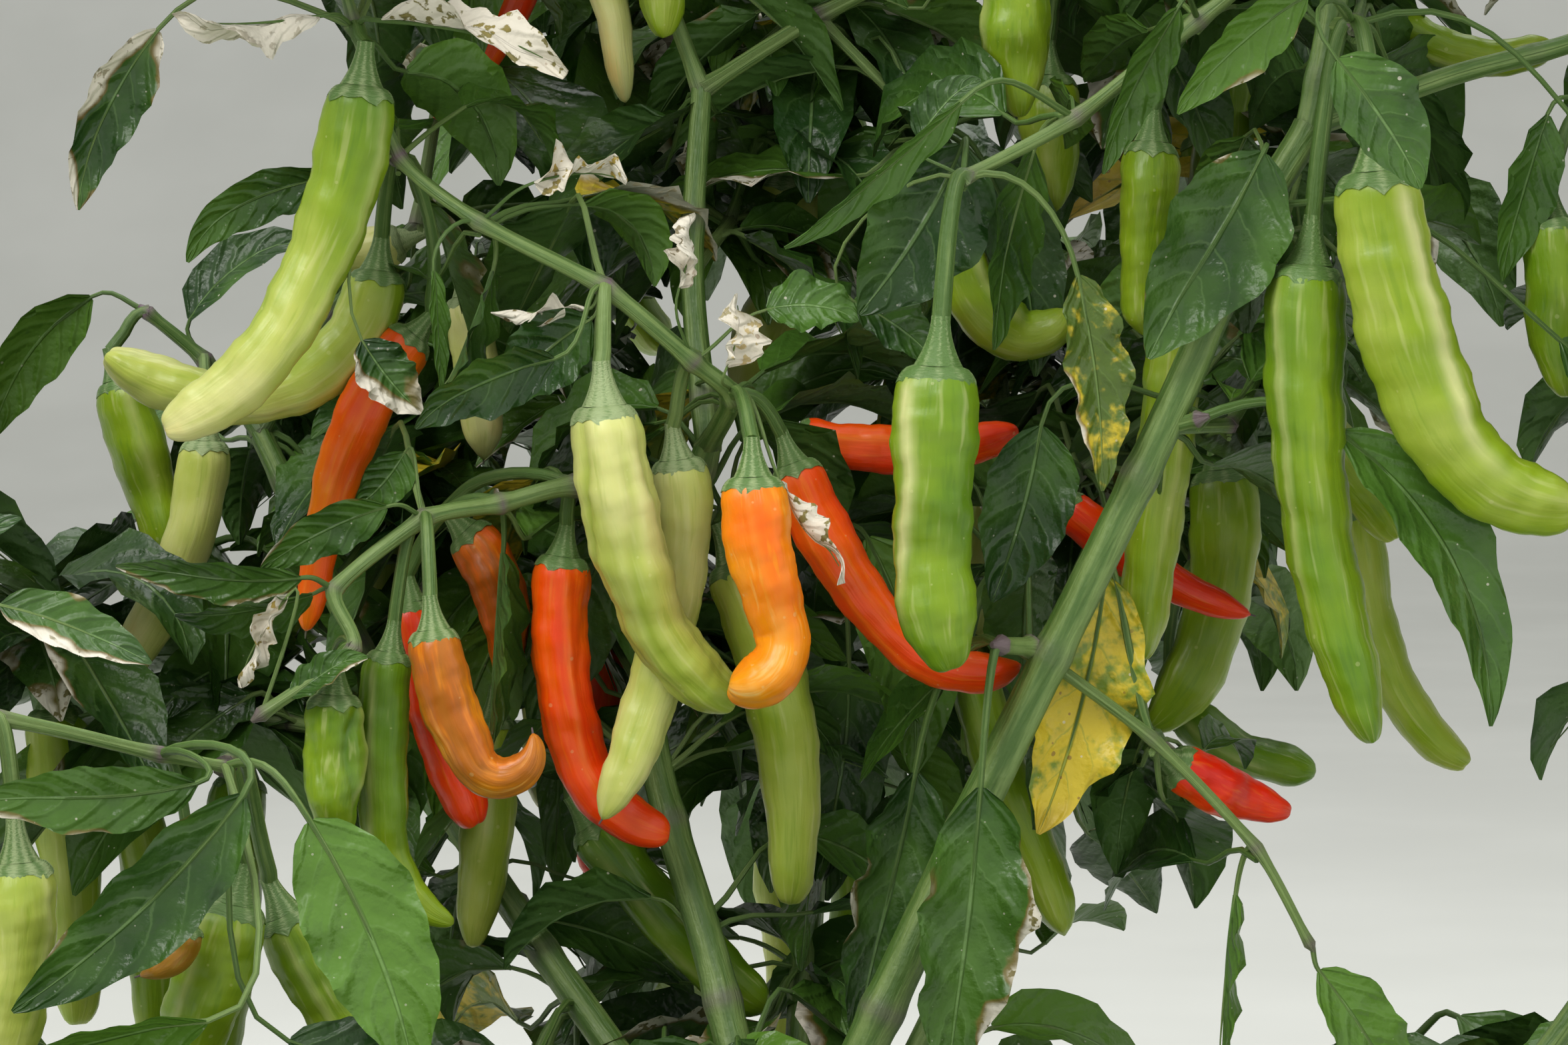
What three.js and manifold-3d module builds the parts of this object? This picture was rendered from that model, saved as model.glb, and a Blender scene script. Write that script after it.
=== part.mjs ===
// Chilli pepper plant, rooted in the ground, in millimetres with +Z up.
// The trunk stands on a flat cut at ground level. Nine tapering boughs leave it, two of them fork
// into further limbs, and each mass of foliage is one body of twigs, leaves and hanging fruit.
import * as THREE from 'three';
import { mergeVertices } from 'three/addons/utils/BufferGeometryUtils.js';
import Module from 'manifold-3d';

const wasm = await Module();
wasm.setup();

// Driving sizes.
const GAP = 0.35;                 // clearance between two solids
const ROOM = 0.3;                 // least clearance that a leaf, fruit or twig must have
const FLARE = 6.5;                // how far the root flare widens the foot of the trunk
const FLARE_HEIGHT = 16;          // height over which the flare dies away
const LOBES = 3;                  // buttresses at the foot
const LOBE_DEPTH = 0.12;          // their depth as a share of the radius
const TRUNK_SIDES = 12;
const BOUGH_SIDES = 6;
const MAIN_SIDES = 8;             // the bough that the front view shows best
const TWIG_SIDES = 3;
const TWIG_FULL = 1.2;            // a three-sided twig is this much wider than the round one
const STALK_RADIUS = 0.85;        // leaf stalk
const PEDICEL_RADIUS = 1.5;       // fruit stalk, which widens towards the calyx
const SUNK = 0.4;                 // a stalk starts this thin inside its twig
const STAGGER = 2.6;              // step along the twig between the stalks of one node
const CALYX_SHARE = 0.62;         // calyx radius as a share of the fruit radius
const BLADE_KEEL = 0.045;         // depth of a leaf under its edges, as a share of its length
const FINE = 0.4;                 // detail smaller than this is smoothed out of a mass
const LAST_ORDER = 3;             // forks after the stem of a seeded mass
const NODE_LEAVES = 3;            // leaves at a node of a seeded shoot
const FORK_ANGLE = [24, 38];      // degrees between a shoot and its parent
const SHORTEN = [0.74, 0.9];      // length of a shoot as a share of its parent
const THINNER = 0.78;             // radius of a shoot as a share of its parent
const TAPER = 0.86;               // radius at the end of a shoot as a share of its start
const LIFT = 0.16;                // how far shoots turn up towards the light
const LEAF_LENGTH = [54, 84];
const LEAF_SLIM = [0.38, 0.48];   // leaf width as a share of its length
const FRUIT_LENGTH = [58, 96];
const FRUIT_WIDTH = [12.5, 18];
const FRUIT_CHANCE = 0.5;         // share of the nodes that carry a fruit
const SPACING = 12;               // least distance between the middles of two leaves
const GROUND_CLEAR = 14;          // lowest point of any leaf or fruit
const EYE = 1000;                 // distance from which the plant is seen from its front
const FRAME_MIDDLE = 350;         // height of the middle of the front view
const FRAME_HALF = [184, 124];    // half width and half height of the front view at y = 0
const FRONT_FREE = 24;            // seeded growth stays behind this y within the front view
// Places where the front view looks right through the crown: left, right, bottom, top.
const OPENINGS = [
  [-190, -104, 30, 130], [-190, -150, -6, 30], [158, 190, -46, 6], [158, 190, 62, 96],
  [96, 190, -130, -66], [-26, -4, -8, 22],
];

const STEM_GREEN = 0x6f8f3a;
const WOOD_GREEN = 0x7a7a45;
const LEAF_GREEN = 0x3f7a2c;

// Vectors.
const add = (a, b, k = 1) => a.map((v, i) => v + b[i] * k);
const sub = (a, b) => a.map((v, i) => v - b[i]);
const dot = (a, b) => a[0] * b[0] + a[1] * b[1] + a[2] * b[2];
const cross = (a, b) => [
  a[1] * b[2] - a[2] * b[1], a[2] * b[0] - a[0] * b[2], a[0] * b[1] - a[1] * b[0],
];
const size = (a) => Math.sqrt(dot(a, a));
const unit = (a) => a.map((v) => v / size(a));
const gapBetween = (a, b) => size(sub(a, b));
const mix = (a, b, t) => a + (b - a) * t;
const radians = (degrees) => (degrees * Math.PI) / 180;

// Seeded numbers.
class Dice {
  constructor(seed) {
    this.state = seed;
    this.roll();
    this.roll();
  }

  roll() {
    this.state = (this.state * 1664525 + 1013904223) % 4294967296;
    return this.state / 4294967296;
  }

  between(low, high) {
    return low + (high - low) * this.roll();
  }

  seed() {
    return Math.floor(this.roll() * 1000000) + 1;
  }
}

// Solids from rings.
function solidOf(geometry) {
  const merged = mergeVertices(geometry, 1e-3);
  return new wasm.Manifold(new wasm.Mesh({
    numProp: 3,
    vertProperties: new Float32Array(merged.attributes.position.array),
    triVerts: new Uint32Array(merged.index.array),
  }));
}

function skin(rings) {
  const points = rings.flat();
  const faces = [];
  let start = 0;
  rings.slice(1).forEach((ring, n) => {
    const count = rings[n].length;
    const next = start + count;
    for (let i = 0; i < count; i += 1) {
      const j = (i + 1) % count;
      if (ring.length === 1) faces.push([start + i, start + j, next]);
      else faces.push([start + i, start + j, next + j], [start + i, next + j, next + i]);
    }
    start = next;
  });
  for (let i = 1; i < rings[0].length - 1; i += 1) faces.push([0, i + 1, i]);
  const end = rings[rings.length - 1];
  for (let i = 1; i < end.length - 1; i += 1) faces.push([start, start + i, start + i + 1]);
  const bulk = faces.reduce((sum, [a, b, c]) => sum + dot(points[a], cross(points[b], points[c])), 0);
  if (bulk < 0) faces.forEach((face) => face.reverse());
  const geometry = new THREE.BufferGeometry();
  geometry.setAttribute('position', new THREE.Float32BufferAttribute(points.flat(), 3));
  geometry.setIndex(faces.flat());
  return solidOf(geometry);
}

function ring(centre, side, up, across, deep, sides) {
  return Array.from({ length: sides }, (_, i) => {
    const angle = (2 * Math.PI * i) / sides;
    return add(add(centre, side, across * Math.cos(angle)), up, deep * Math.sin(angle));
  });
}

// A side vector for every point of a path, carried along so that it never twists.
function sides(points, first) {
  let side = first;
  return points.map((point, i) => {
    const back = points[Math.max(0, i - 1)];
    const ahead = points[Math.min(points.length - 1, i + 1)];
    const way = unit(sub(ahead, back));
    side = unit(add(side, way, -dot(side, way)));
    return { point, way, side, up: cross(way, side) };
  });
}

function anySide(way) {
  return unit(cross(way, Math.abs(way[2]) < 0.9 ? [0, 0, 1] : [1, 0, 0]));
}

// A smooth curve through the points of a limb.
function curveAt(points, t) {
  const spans = points.length - 1;
  const n = Math.min(spans - 1, Math.floor(t * spans));
  const u = t * spans - n;
  const p1 = points[n];
  const p2 = points[n + 1];
  const p0 = points[n - 1] ?? sub(add(p1, p1), p2);
  const p3 = points[n + 2] ?? sub(add(p2, p2), p1);
  return p1.map((v, i) => 0.5 * (2 * v + (p2[i] - p0[i]) * u
    + (2 * p0[i] - 5 * v + 4 * p2[i] - p3[i]) * u * u
    + (3 * v - p0[i] - 3 * p2[i] + p3[i]) * u * u * u));
}

function limbPath(limb) {
  return Array.from({ length: limb.rings + 1 }, (_, i) => curveAt(limb.points, i / limb.rings));
}

function limbSolid(limb, grow = 0) {
  const path = limbPath(limb);
  const radius = (t) => mix(limb.radius[0], limb.radius[1], t) + grow;
  const frames = sides(path, anySide(unit(sub(path[1], path[0]))));
  const rings = frames.map((f, i) => {
    const r = radius(i / limb.rings);
    return ring(f.point, f.side, f.up, r, r, limb.sides);
  });
  const tip = frames[frames.length - 1];
  const end = radius(1);
  rings.push(ring(add(tip.point, tip.way, end * 0.55), tip.side, tip.up, end * 0.6, end * 0.6, limb.sides));
  return skin(rings);
}

function trunkSolid(limb, grow = 0) {
  const path = limbPath(limb);
  const rings = path.map((point, i) => {
    const t = i / limb.rings;
    const flare = Math.exp(-point[2] / FLARE_HEIGHT);
    const r = mix(limb.radius[0], limb.radius[1], t) + FLARE * flare + grow;
    return Array.from({ length: TRUNK_SIDES }, (_, k) => {
      const angle = (2 * Math.PI * k) / TRUNK_SIDES;
      const lobe = r * (1 + LOBE_DEPTH * flare * Math.cos(LOBES * angle));
      return [point[0] + lobe * Math.cos(angle), point[1] + lobe * Math.sin(angle), point[2]];
    });
  });
  const top = path[path.length - 1];
  const end = (limb.radius[1] + grow) * 0.55;
  const cap = add(top, [0, 0, 1], limb.radius[1] * 0.6 + grow);
  rings.push(ring(cap, [1, 0, 0], [0, 1, 0], end, end, TRUNK_SIDES));
  return skin(rings);
}

// Leaf and fruit.
// Both hang on a bent stalk and bend in the upright plane of their azimuth.
// bends gives the slope in degrees at the start, at 60 % and at the end of the body.
function slope(bends, t) {
  return t < 0.6 ? mix(bends[0], bends[1], t / 0.6) : mix(bends[1], bends[2], (t - 0.6) / 0.4);
}

function wayOf(azimuth, elevation) {
  const a = radians(azimuth);
  const e = radians(elevation);
  return [Math.cos(e) * Math.cos(a), Math.cos(e) * Math.sin(a), Math.sin(e)];
}

const STEPS = 20;

function spine(body) {
  const points = [body.base];
  for (let i = 0; i < STEPS; i += 1) {
    const way = wayOf(body.azimuth, slope(body.bends, (i + 0.5) / STEPS));
    points.push(add(points[i], way, body.length / STEPS));
  }
  return points;
}

function spineFrame(body, points, t) {
  const way = wayOf(body.azimuth, slope(body.bends, t));
  const a = radians(body.azimuth);
  const flat = [-Math.sin(a), Math.cos(a), 0];
  const lean = cross(way, flat);
  const roll = radians(body.roll ?? 0);
  const side = add(flat.map((v) => v * Math.cos(roll)), lean, Math.sin(roll));
  return { point: points[Math.round(t * STEPS)], way, side, up: cross(way, side) };
}

function stalkPath(root, body, count) {
  const reach = gapBetween(root, body.base);
  const start = wayOf(body.azimuth, slope(body.bends, 0));
  const level = sub(body.base, root);
  const p1 = add(root, [level[0] * 0.5, level[1] * 0.5, level[2] * 0.1 + reach * 0.22]);
  const p2 = add(body.base, start, -reach * 0.4);
  return Array.from({ length: count + 1 }, (_, i) => {
    const u = i / count;
    const v = 1 - u;
    return root.map((r, k) => r * v * v * v + 3 * p1[k] * v * v * u
      + 3 * p2[k] * v * u * u + body.base[k] * u * u * u);
  });
}

// Frames of a stalk, carried back from the start of the body to the root.
function stalkFrames(body, first) {
  const path = stalkPath(body.root, body, body.bow);
  const frames = sides([...path].reverse(), first.side).reverse().slice(0, -1);
  return frames.map((f) => ({ ...f, up: f.up.map((v) => -v) }));
}

function leafWidth(t) {
  return Math.sin(Math.PI * Math.pow(t, 0.75)) ** 0.8;
}

function leafSolids(leaf) {
  const points = spine(leaf);
  const cut = (t) => {
    const f = spineFrame(leaf, points, t);
    const half = t === 0 ? STALK_RADIUS : (leaf.width / 2) * leafWidth(t);
    const keel = t === 0 ? STALK_RADIUS : leaf.length * BLADE_KEEL * (0.4 + 0.6 * (1 - t));
    return [add(f.point, f.side, half), add(f.point, f.up, keel * 0.4 + 0.2), add(f.point, f.side, -half)]
      .map((p) => add(p, f.up, -keel * 0.6));
  };
  const blade = [...leaf.cuts.map(cut), [points[STEPS]]];
  const stalk = stalkFrames(leaf, spineFrame(leaf, points, 0)).map((f, i) => {
    const r = STALK_RADIUS * (i === 0 ? SUNK : 1);
    return [add(f.point, f.side, r), add(f.point, f.up, r * 1.3), add(f.point, f.side, -r)]
      .map((p) => add(p, f.up, -r * 0.5));
  });
  return { full: skin([...stalk, ...blade]), body: skin(blade) };
}

function fruitRadius(t) {
  const shoulder = Math.min(1, CALYX_SHARE + 2.9 * t);
  const fall = t < 0.45 ? 1 : 1 - 0.36 * ((t - 0.45) / 0.55) ** 1.3;
  const end = t < 0.93 ? 1 : Math.sqrt(Math.max(0, 1 - ((t - 0.93) / 0.075) ** 2));
  return shoulder * fall * end;
}

function fruitSolids(fruit) {
  const points = spine(fruit);
  const bodyRings = fruit.cuts.map((t) => {
    const f = spineFrame(fruit, points, t);
    const r = Math.max(1.2, (fruit.width / 2) * fruitRadius(t));
    return ring(f.point, f.side, f.up, r, r, fruit.sides);
  });
  const stalk = stalkFrames(fruit, spineFrame(fruit, points, 0)).map((f, i, all) => {
    const r = PEDICEL_RADIUS * (1 + 0.5 * (i / all.length) ** 2) * (i === 0 ? SUNK : 1);
    return ring(f.point, f.side, f.up, r, r, fruit.sides);
  });
  return { full: skin([...stalk, ...bodyRings]), body: skin(bodyRings) };
}

function twigSolid(points, radii) {
  const frames = sides(points, anySide(unit(sub(points[1], points[0]))));
  return skin(frames.map((f, i) => {
    const r = radii[i] * TWIG_FULL;
    return ring(f.point, f.side, f.up, r, r, TWIG_SIDES);
  }));
}

// Limbs.
const TRUNK = {
  name: 'trunk',
  points: [[0, 0, 0], [0, 0, 30], [2, 1, 90], [-1, 2, 150], [0, 2, 190]],
  radius: [9, 6.6],
  rings: 9,
};
const LIMBS = [
  [
    'bough_right',
    [[0, 2, 184], [21, 3, 232], [46, 5, 285], [87, 0, 371], [107, 0, 417], [121, 2, 441]],
    [5.4, 3.7], 9,
  ],
  ['bough_centre', [[-1, 2, 184], [-16, 26, 240], [-33, 46, 305], [-18, 27, 367]], [4.8, 3.2], 6],
  ['bough_left_back', [[0, 2, 172], [-40, 34, 220], [-92, 72, 290], [-132, 92, 368]], [4.4, 2.8], 6],
  ['bough_right_back', [[0, 2, 166], [36, 46, 225], [74, 92, 300], [108, 128, 372]], [4.4, 2.8], 6],
  ['bough_back', [[0, 2, 154], [4, 58, 215], [8, 118, 298], [0, 166, 378]], [4.4, 2.8], 6],
  ['bough_front_left', [[0, 2, 146], [-72, -40, 172], [-165, -78, 214], [-198, -94, 286]], [4.2, 2.6], 6],
  ['bough_front_right', [[0, 2, 150], [44, -36, 176], [96, -66, 196], [136, -84, 214]], [4, 2.6], 5],
  ['bough_left_side', [[0, 1, 122], [-76, 4, 158], [-160, 14, 206], [-214, 22, 280]], [4.2, 2.6], 6],
  ['bough_right_side', [[0, 1, 130], [76, 6, 160], [156, 16, 198], [212, 20, 268]], [4.2, 2.6], 6],
  ['bough_right_top', [[121, 2, 441], [126, 4, 466], [132, 7, 506]], [3.5, 2.8], 4],
  ['bough_right_out', [[121, 2, 441], [154, 9, 453], [186, 16, 462], [214, 24, 476]], [2.6, 2.1], 4],
  ['bough_centre_up', [[-18, 27, 367], [-22, 42, 408], [-20, 54, 452]], [3.1, 2.5], 4],
].map(([name, points, radius, rings], i) => ({
  name, points, radius, rings, sides: i === 0 ? MAIN_SIDES : BOUGH_SIDES,
}));

// Masses of foliage.
// nodes: the twig nodes that can be made out in the front view; stems: chains of nodes with the
// radius at both ends, the first one leaving the limb;
// fruits: node, calyx, azimuth, three slopes, length, width;
// leaves: node, blade base, azimuth, three slopes, length, width, roll.
// A seeded mass has a first shoot (from, way, length, radius), the middle and half sizes of the
// space it keeps to, and a seed.
const MASSES = [
  {
    name: 'foliage_upper_left',
    nodes: [
      [-18, 27, 367], [-12, 8, 379], [-21, 2, 387], [-41, -4, 404], [-70, -2, 419], [-89, 4, 434],
      [-99, 6, 464],
    ],
    stems: [[[0, 1, 2, 3, 4, 5, 6], [2.5, 1.3]]],
    fruits: [
      [1, [-7, -15, 361], 0, [-88, -70, -195], 57, 15],
      [1, [2, 14, 363], 0, [-70, -48, 18], 78, 13],
      [1, [3, 42, 368], 0, [-12, 4, 20], 54, 11],
      [2, [-25, 13, 364], 25, [-82, -108, -120], 86, 14],
      [3, [-41, -10, 377], 25, [-86, -66, -30], 80, 17],
      [6, [-97, 0, 450], 8, [-96, -120, -160], 96, 17],
      [5, [-96, 28, 408], 0, [-96, -182, -216], 83, 15],
      [5, [-87, 24, 393], 0, [-130, -104, -98], 75, 12],
    ],
    leaves: [
      [5, [-105, 13, 430], -6, [-172, -152, -112], 42, 12, 66],
      [4, [-80, -8, 408], 0, [-84, -88, -92], 28, 7, 30],
      [3, [-52, -16, 388], 10, [-168, -154, -128], 36, 16, 60],
      [3, [-44, -8, 397], -10, [-150, -135, -116], 30, 17, 74],
      [2, [-4, 2, 399], 0, [14, -8, -40], 22, 14, 64],
      [5, [-97, -2, 392], 8, [-60, -50, -36], 22, 13, 80],
      [4, [-57, -8, 428], 0, [20, 0, -24], 22, 10, 50],
      [2, [-24, -4, 404], 0, [70, 84, 110], 17, 9, 60],
      [3, [-45, -8, 399], 0, [-170, -184, -176], 22, 6, 55],
      [1, [-13, -8, 386], 0, [66, 84, 120], 17, 11, 70],
      [1, [-1, -12, 360], 0, [-66, -44, -76], 28, 7, 70],
      [6, [-92, -4, 465], -10, [-4, -14, -40], 46, 13, 58],
      [6, [-106, -4, 466], 10, [-170, -178, -200], 34, 11, 55],
      [6, [-143, -4, 463], 0, [-130, -112, -96], 46, 15, 62],
      [4, [-68, 16, 408], 40, [-110, -120, -150], 40, 18, 50],
    ],
    shoots: [{
      from: [-99, 6, 464], way: [-0.28, 0.2, 0.94],
      length: 40, radius: 1.4, order: 1, seed: 101,
    }],
    reach: [[-116, 24, 522], [84, 70, 66]],
  },
  {
    name: 'foliage_lower_left',
    nodes: [
      [-20, 30, 355], [-49, 12, 358], [-66, 8, 354], [-83, 0, 351], [-103, -8, 335], [-98, -13, 322],
      [-119, -16, 307],
    ],
    stems: [[[0, 1, 2, 3, 4, 5, 6], [2.4, 1.4]]],
    fruits: [
      [1, [-52, 18, 341], 0, [-98, -74, -8], 78, 14],
      [1, [-76, 34, 346], 0, [-48, -84, -96], 38, 13],
      [3, [-91, 0, 320], 0, [-98, -86, -20], 70, 12],
      [3, [-80, -12, 326], 0, [-82, -42, 88], 58, 13],
      [2, [-88, 22, 330], 0, [-82, -74, -64], 56, 12],
      [5, [-103, -9, 311], 0, [-92, -90, -86], 36, 14],
    ],
    leaves: [
      [4, [-110, -12, 338], -8, [-172, -190, -184], 44, 11, 62],
      [4, [-108, -8, 334], 12, [-160, -176, -186], 32, 13, 40],
      [3, [-91, -6, 354], 0, [-164, -152, -140], 33, 12, 66],
      [3, [-88, 6, 366], 0, [-120, -132, -150], 17, 11, 72],
      [6, [-113, -14, 334], 0, [-128, -118, -100], 24, 8, 50],
      [6, [-112, -16, 311], 0, [40, 30, 0], 20, 8, 60],
      [2, [-66, 18, 342], 60, [-100, -96, -90], 48, 19, 70],
      [5, [-106, 8, 312], 60, [-96, -100, -100], 44, 17, 80],
    ],
  },
  {
    name: 'foliage_front_left',
    nodes: [[-198, -94, 286], [-188, -97, 310], [-165, -95, 314], [-131, -92, 306], [-118, -88, 303]],
    stems: [[[0, 1, 2, 3, 4], [2, 1.2]]],
    fruits: [
      [4, [-119, -66, 271], 0, [-104, -112, -116], 58, 17],
      [4, [-110, -50, 266], 0, [-66, -56, -46], 56, 15],
      [2, [-160, -98, 284], 0, [-86, -100, -106], 46, 15],
      [3, [-127, -82, 268], 0, [-100, -140, -160], 14, 8],
    ],
    leaves: [
      [3, [-121, -110, 302], 0, [-166, -182, -176], 48, 15, 70],
      [3, [-111, -113, 300], 0, [-126, -140, -146], 66, 20, 76],
      [4, [-99, -99, 293], 0, [-58, -70, -80], 60, 25, 80],
      [2, [-163, -100, 338], 0, [-12, -24, -30], 34, 12, 60],
      [1, [-184, -97, 350], 0, [8, 14, 18], 26, 9, 62],
      [4, [-118, -118, 254], 0, [-176, -160, -150], 52, 18, 40],
      [4, [-104, -96, 246], 0, [-20, -16, -30], 44, 17, 44],
    ],
    shoots: [{
      from: [-198, -94, 286], way: [-0.62, -0.1, 0.74],
      length: 40, radius: 1.8, order: 1, seed: 41,
    }],
    reach: [[-206, -84, 292], [66, 62, 88]],
  },
  {
    name: 'foliage_node_low',
    nodes: [[57, 3, 321], [50, -5, 322], [86, 10, 299], [110, 4, 274], [122, 0, 252]],
    stems: [[[0, 1], [2.2, 1.9]], [[0, 2, 3, 4], [1.5, 1.1]]],
    fruits: [
      [2, [92, 22, 292], 20, [-30, -22, -12], 34, 12],
    ],
    leaves: [
      [1, [45, -10, 290], 0, [-94, -98, -94], 70, 27, 78],
      [1, [31, 20, 290], 10, [-100, -106, -100], 66, 24, 80],
      [2, [75, 12, 337], 0, [-96, -106, -114], 63, 26, 80],
      [4, [124, 0, 246], 0, [-52, -58, -70], 44, 18, 64],
      [3, [106, 12, 262], 40, [-100, -96, -90], 48, 18, 50],
    ],
  },
  {
    name: 'foliage_node_middle',
    nodes: [[88, 0, 372], [95, -4, 374], [104, 14, 372]],
    stems: [[[0, 1], [1.9, 1.6]], [[0, 2], [1.9, 1.5]]],
    fruits: [
      [2, [118, 34, 380], 0, [-46, -52, -60], 46, 13],
    ],
    leaves: [
      [1, [127, -6, 371], 0, [-36, -66, -92], 80, 20, 64],
      [2, [60, 12, 372], 0, [-100, -106, -112], 43, 22, 82],
    ],
  },
  {
    name: 'foliage_node_high',
    nodes: [[107, 0, 417], [101, -6, 419], [116, 10, 420]],
    stems: [[[0, 1], [2.1, 1.8]], [[0, 2], [1.9, 1.5]]],
    fruits: [
      [2, [93, 26, 395], 0, [-96, -97, -93], 80, 14],
    ],
    leaves: [
      [1, [109, -10, 435], 0, [-116, -122, -116], 54, 29, 78],
      [1, [178, -4, 392], 0, [-40, -56, -70], 50, 18, 60],
    ],
  },
  {
    name: 'foliage_right',
    nodes: [[126, 4, 464], [130, -5, 464]],
    stems: [[[0, 1], [2.3, 2]]],
    fruits: [
      [1, [120, -5, 409], 0, [-95, -78, -72], 112, 19],
      [1, [134, -16, 430], 0, [-86, -64, 4], 98, 20],
      [1, [146, 40, 468], 0, [-40, -4, 26], 40, 10],
    ],
    leaves: [
      [1, [121, -46, 454], 0, [-50, -58, -66], 34, 20, 72],
      [1, [184, -6, 438], 0, [-50, -62, -76], 46, 19, 60],
      [1, [118, -16, 470], 0, [-150, -136, -120], 40, 15, 60],
    ],
  },
  {
    name: 'foliage_middle',
    nodes: [[127, 4, 472], [112, 6, 478], [96, 10, 466], [67, 2, 443], [41, -8, 429]],
    stems: [[[0, 1, 2, 3, 4], [2.2, 1.5]]],
    fruits: [
      [4, [35, -14, 386], 0, [-93, -90, -72], 70, 19],
      [2, [86, 20, 438], 0, [-94, -92, -88], 44, 14],
    ],
    leaves: [
      [4, [41, 2, 437], 0, [-112, -124, -128], 46, 28, 78],
      [4, [31, -4, 438], 0, [60, 44, 20], 20, 11, 66],
      [3, [40, -16, 446], 0, [-136, -140, -152], 52, 10, 40],
      [4, [67, -8, 407], 0, [-78, -84, -88], 50, 15, 70],
      [4, [16, 8, 401], 0, [-24, -40, -60], 26, 13, 62],
      [3, [58, 12, 436], 30, [-110, -104, -96], 48, 20, 66],
      [2, [90, -4, 468], 0, [-120, -116, -104], 42, 13, 50],
    ],
  },
  {
    name: 'foliage_centre_top',
    nodes: [[-20, 54, 452], [8, 60, 470], [46, 50, 487], [68, 66, 480], [36, 60, 442]],
    stems: [[[0, 1, 2, 3], [2.1, 1.3]], [[1, 4], [1.5, 1.2]]],
    fruits: [
      [2, [55, 32, 478], 0, [-90, -88, -86], 34, 16],
      [3, [65, 68, 456], 0, [-88, -87, -86], 32, 14],
      [4, [42, 60, 414], 0, [-84, -30, 74], 42, 14],
    ],
    leaves: [
      [4, [48, 62, 436], 0, [-60, -80, -92], 56, 20, 70],
      [3, [84, 60, 474], 0, [-50, -66, -80], 52, 19, 60],
    ],
    shoots: [
      { from: [-20, 54, 452], way: [-0.35, 0.1, 0.93], length: 46, radius: 2.1, order: 0, seed: 7 },
    ],
    reach: [[-18, 46, 522], [84, 66, 88]],
  },
  {
    name: 'foliage_left_back',
    nodes: [[-132, 92, 368], [-146, 94, 386], [-160, 92, 398], [-114, 92, 398], [-92, 90, 420]],
    stems: [[[0, 1, 2], [2.2, 1.5]], [[0, 3, 4], [2.1, 1.5]]],
    fruits: [
      [2, [-167, 90, 381], 0, [-74, -74, -76], 46, 14],
      [1, [-144, 80, 366], 0, [-92, -120, -134], 74, 13],
      [4, [-96, 90, 416], 0, [-160, -172, -184], 30, 11],
      [4, [-80, 94, 402], 0, [-80, -84, -90], 40, 12],
    ],
    leaves: [
      [2, [-174, 92, 402], 0, [-150, -120, -100], 46, 17, 60],
      [1, [-150, 96, 396], 0, [60, 30, -20], 40, 15, 50],
    ],
    shoots: [
      { from: [-92, 90, 420], way: [0.15, 0.2, 0.97], length: 44, radius: 1.8, order: 1, seed: 19 },
      { from: [-160, 92, 398], way: [-0.8, 0.3, 0.5], length: 38, radius: 1.6, order: 1, seed: 23 },
    ],
    reach: [[-138, 106, 428], [92, 62, 108]],
  },
  {
    name: 'foliage_right_top',
    shoots: [{ from: [132, 7, 506], way: [0.1, 0.05, 0.99], length: 36, radius: 2.2, order: 0, seed: 31 }],
    reach: [[128, 6, 554], [84, 72, 62]],
  },
  {
    name: 'foliage_right_out',
    nodes: [[214, 24, 476], [206, 16, 462], [188, 12, 446]],
    stems: [[[0, 1, 2], [1.9, 1.4]]],
    fruits: [[2, [178, 10, 420], 0, [-86, -84, -80], 42, 14]],
    leaves: [[2, [176, 4, 444], 0, [-110, -104, -96], 40, 15, 60]],
    shoots: [{ from: [214, 24, 476], way: [0.6, 0.1, 0.78], length: 38, radius: 1.9, order: 1, seed: 37 }],
    reach: [[226, 16, 478], [52, 72, 90]],
  },
  {
    name: 'foliage_right_back',
    nodes: [
      [108, 128, 372], [112, 104, 384], [100, 88, 378], [74, 84, 358], [58, 80, 334], [134, 86, 382],
      [104, 98, 334],
    ],
    stems: [[[0, 1, 2, 3, 4], [2.2, 1.3]], [[1, 5], [1.6, 1.3]], [[0, 6], [1.7, 1.3]]],
    fruits: [
      [2, [109, 80, 359], 0, [-82, -106, -140], 70, 17],
      [4, [46, 56, 311], 0, [-78, -66, -72], 68, 13],
      [6, [101, 92, 298], 0, [-50, -18, -6], 38, 12],
      [3, [68, 52, 352], 0, [-42, -30, -18], 52, 11],
      [5, [140, 60, 350], 0, [-88, -66, -30], 72, 13],
    ],
    leaves: [
      [1, [126, 90, 386], 0, [-60, -76, -86], 60, 22, 70],
      [3, [80, 74, 346], 0, [-90, -96, -90], 60, 24, 76],
    ],
    shoots: [
      { from: [108, 128, 372], way: [0.3, 0.3, 0.9], length: 48, radius: 2.2, order: 0, seed: 43 },
    ],
    reach: [[116, 122, 400], [86, 72, 118]],
  },
  {
    name: 'foliage_centre_back',
    nodes: [[-31, 43, 322], [-34, 58, 330], [-54, 60, 318], [-14, 58, 350], [10, 54, 344]],
    stems: [[[0, 1, 2], [2, 1.4]], [[1, 3, 4], [1.7, 1.3]]],
    fruits: [
      [3, [-12, 34, 339], 0, [-66, -84, -96], 85, 16],
      [2, [-47, 48, 274], 0, [-54, -46, -36], 62, 14],
      [2, [-70, 46, 300], 0, [-92, -98, -96], 56, 13],
    ],
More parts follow.
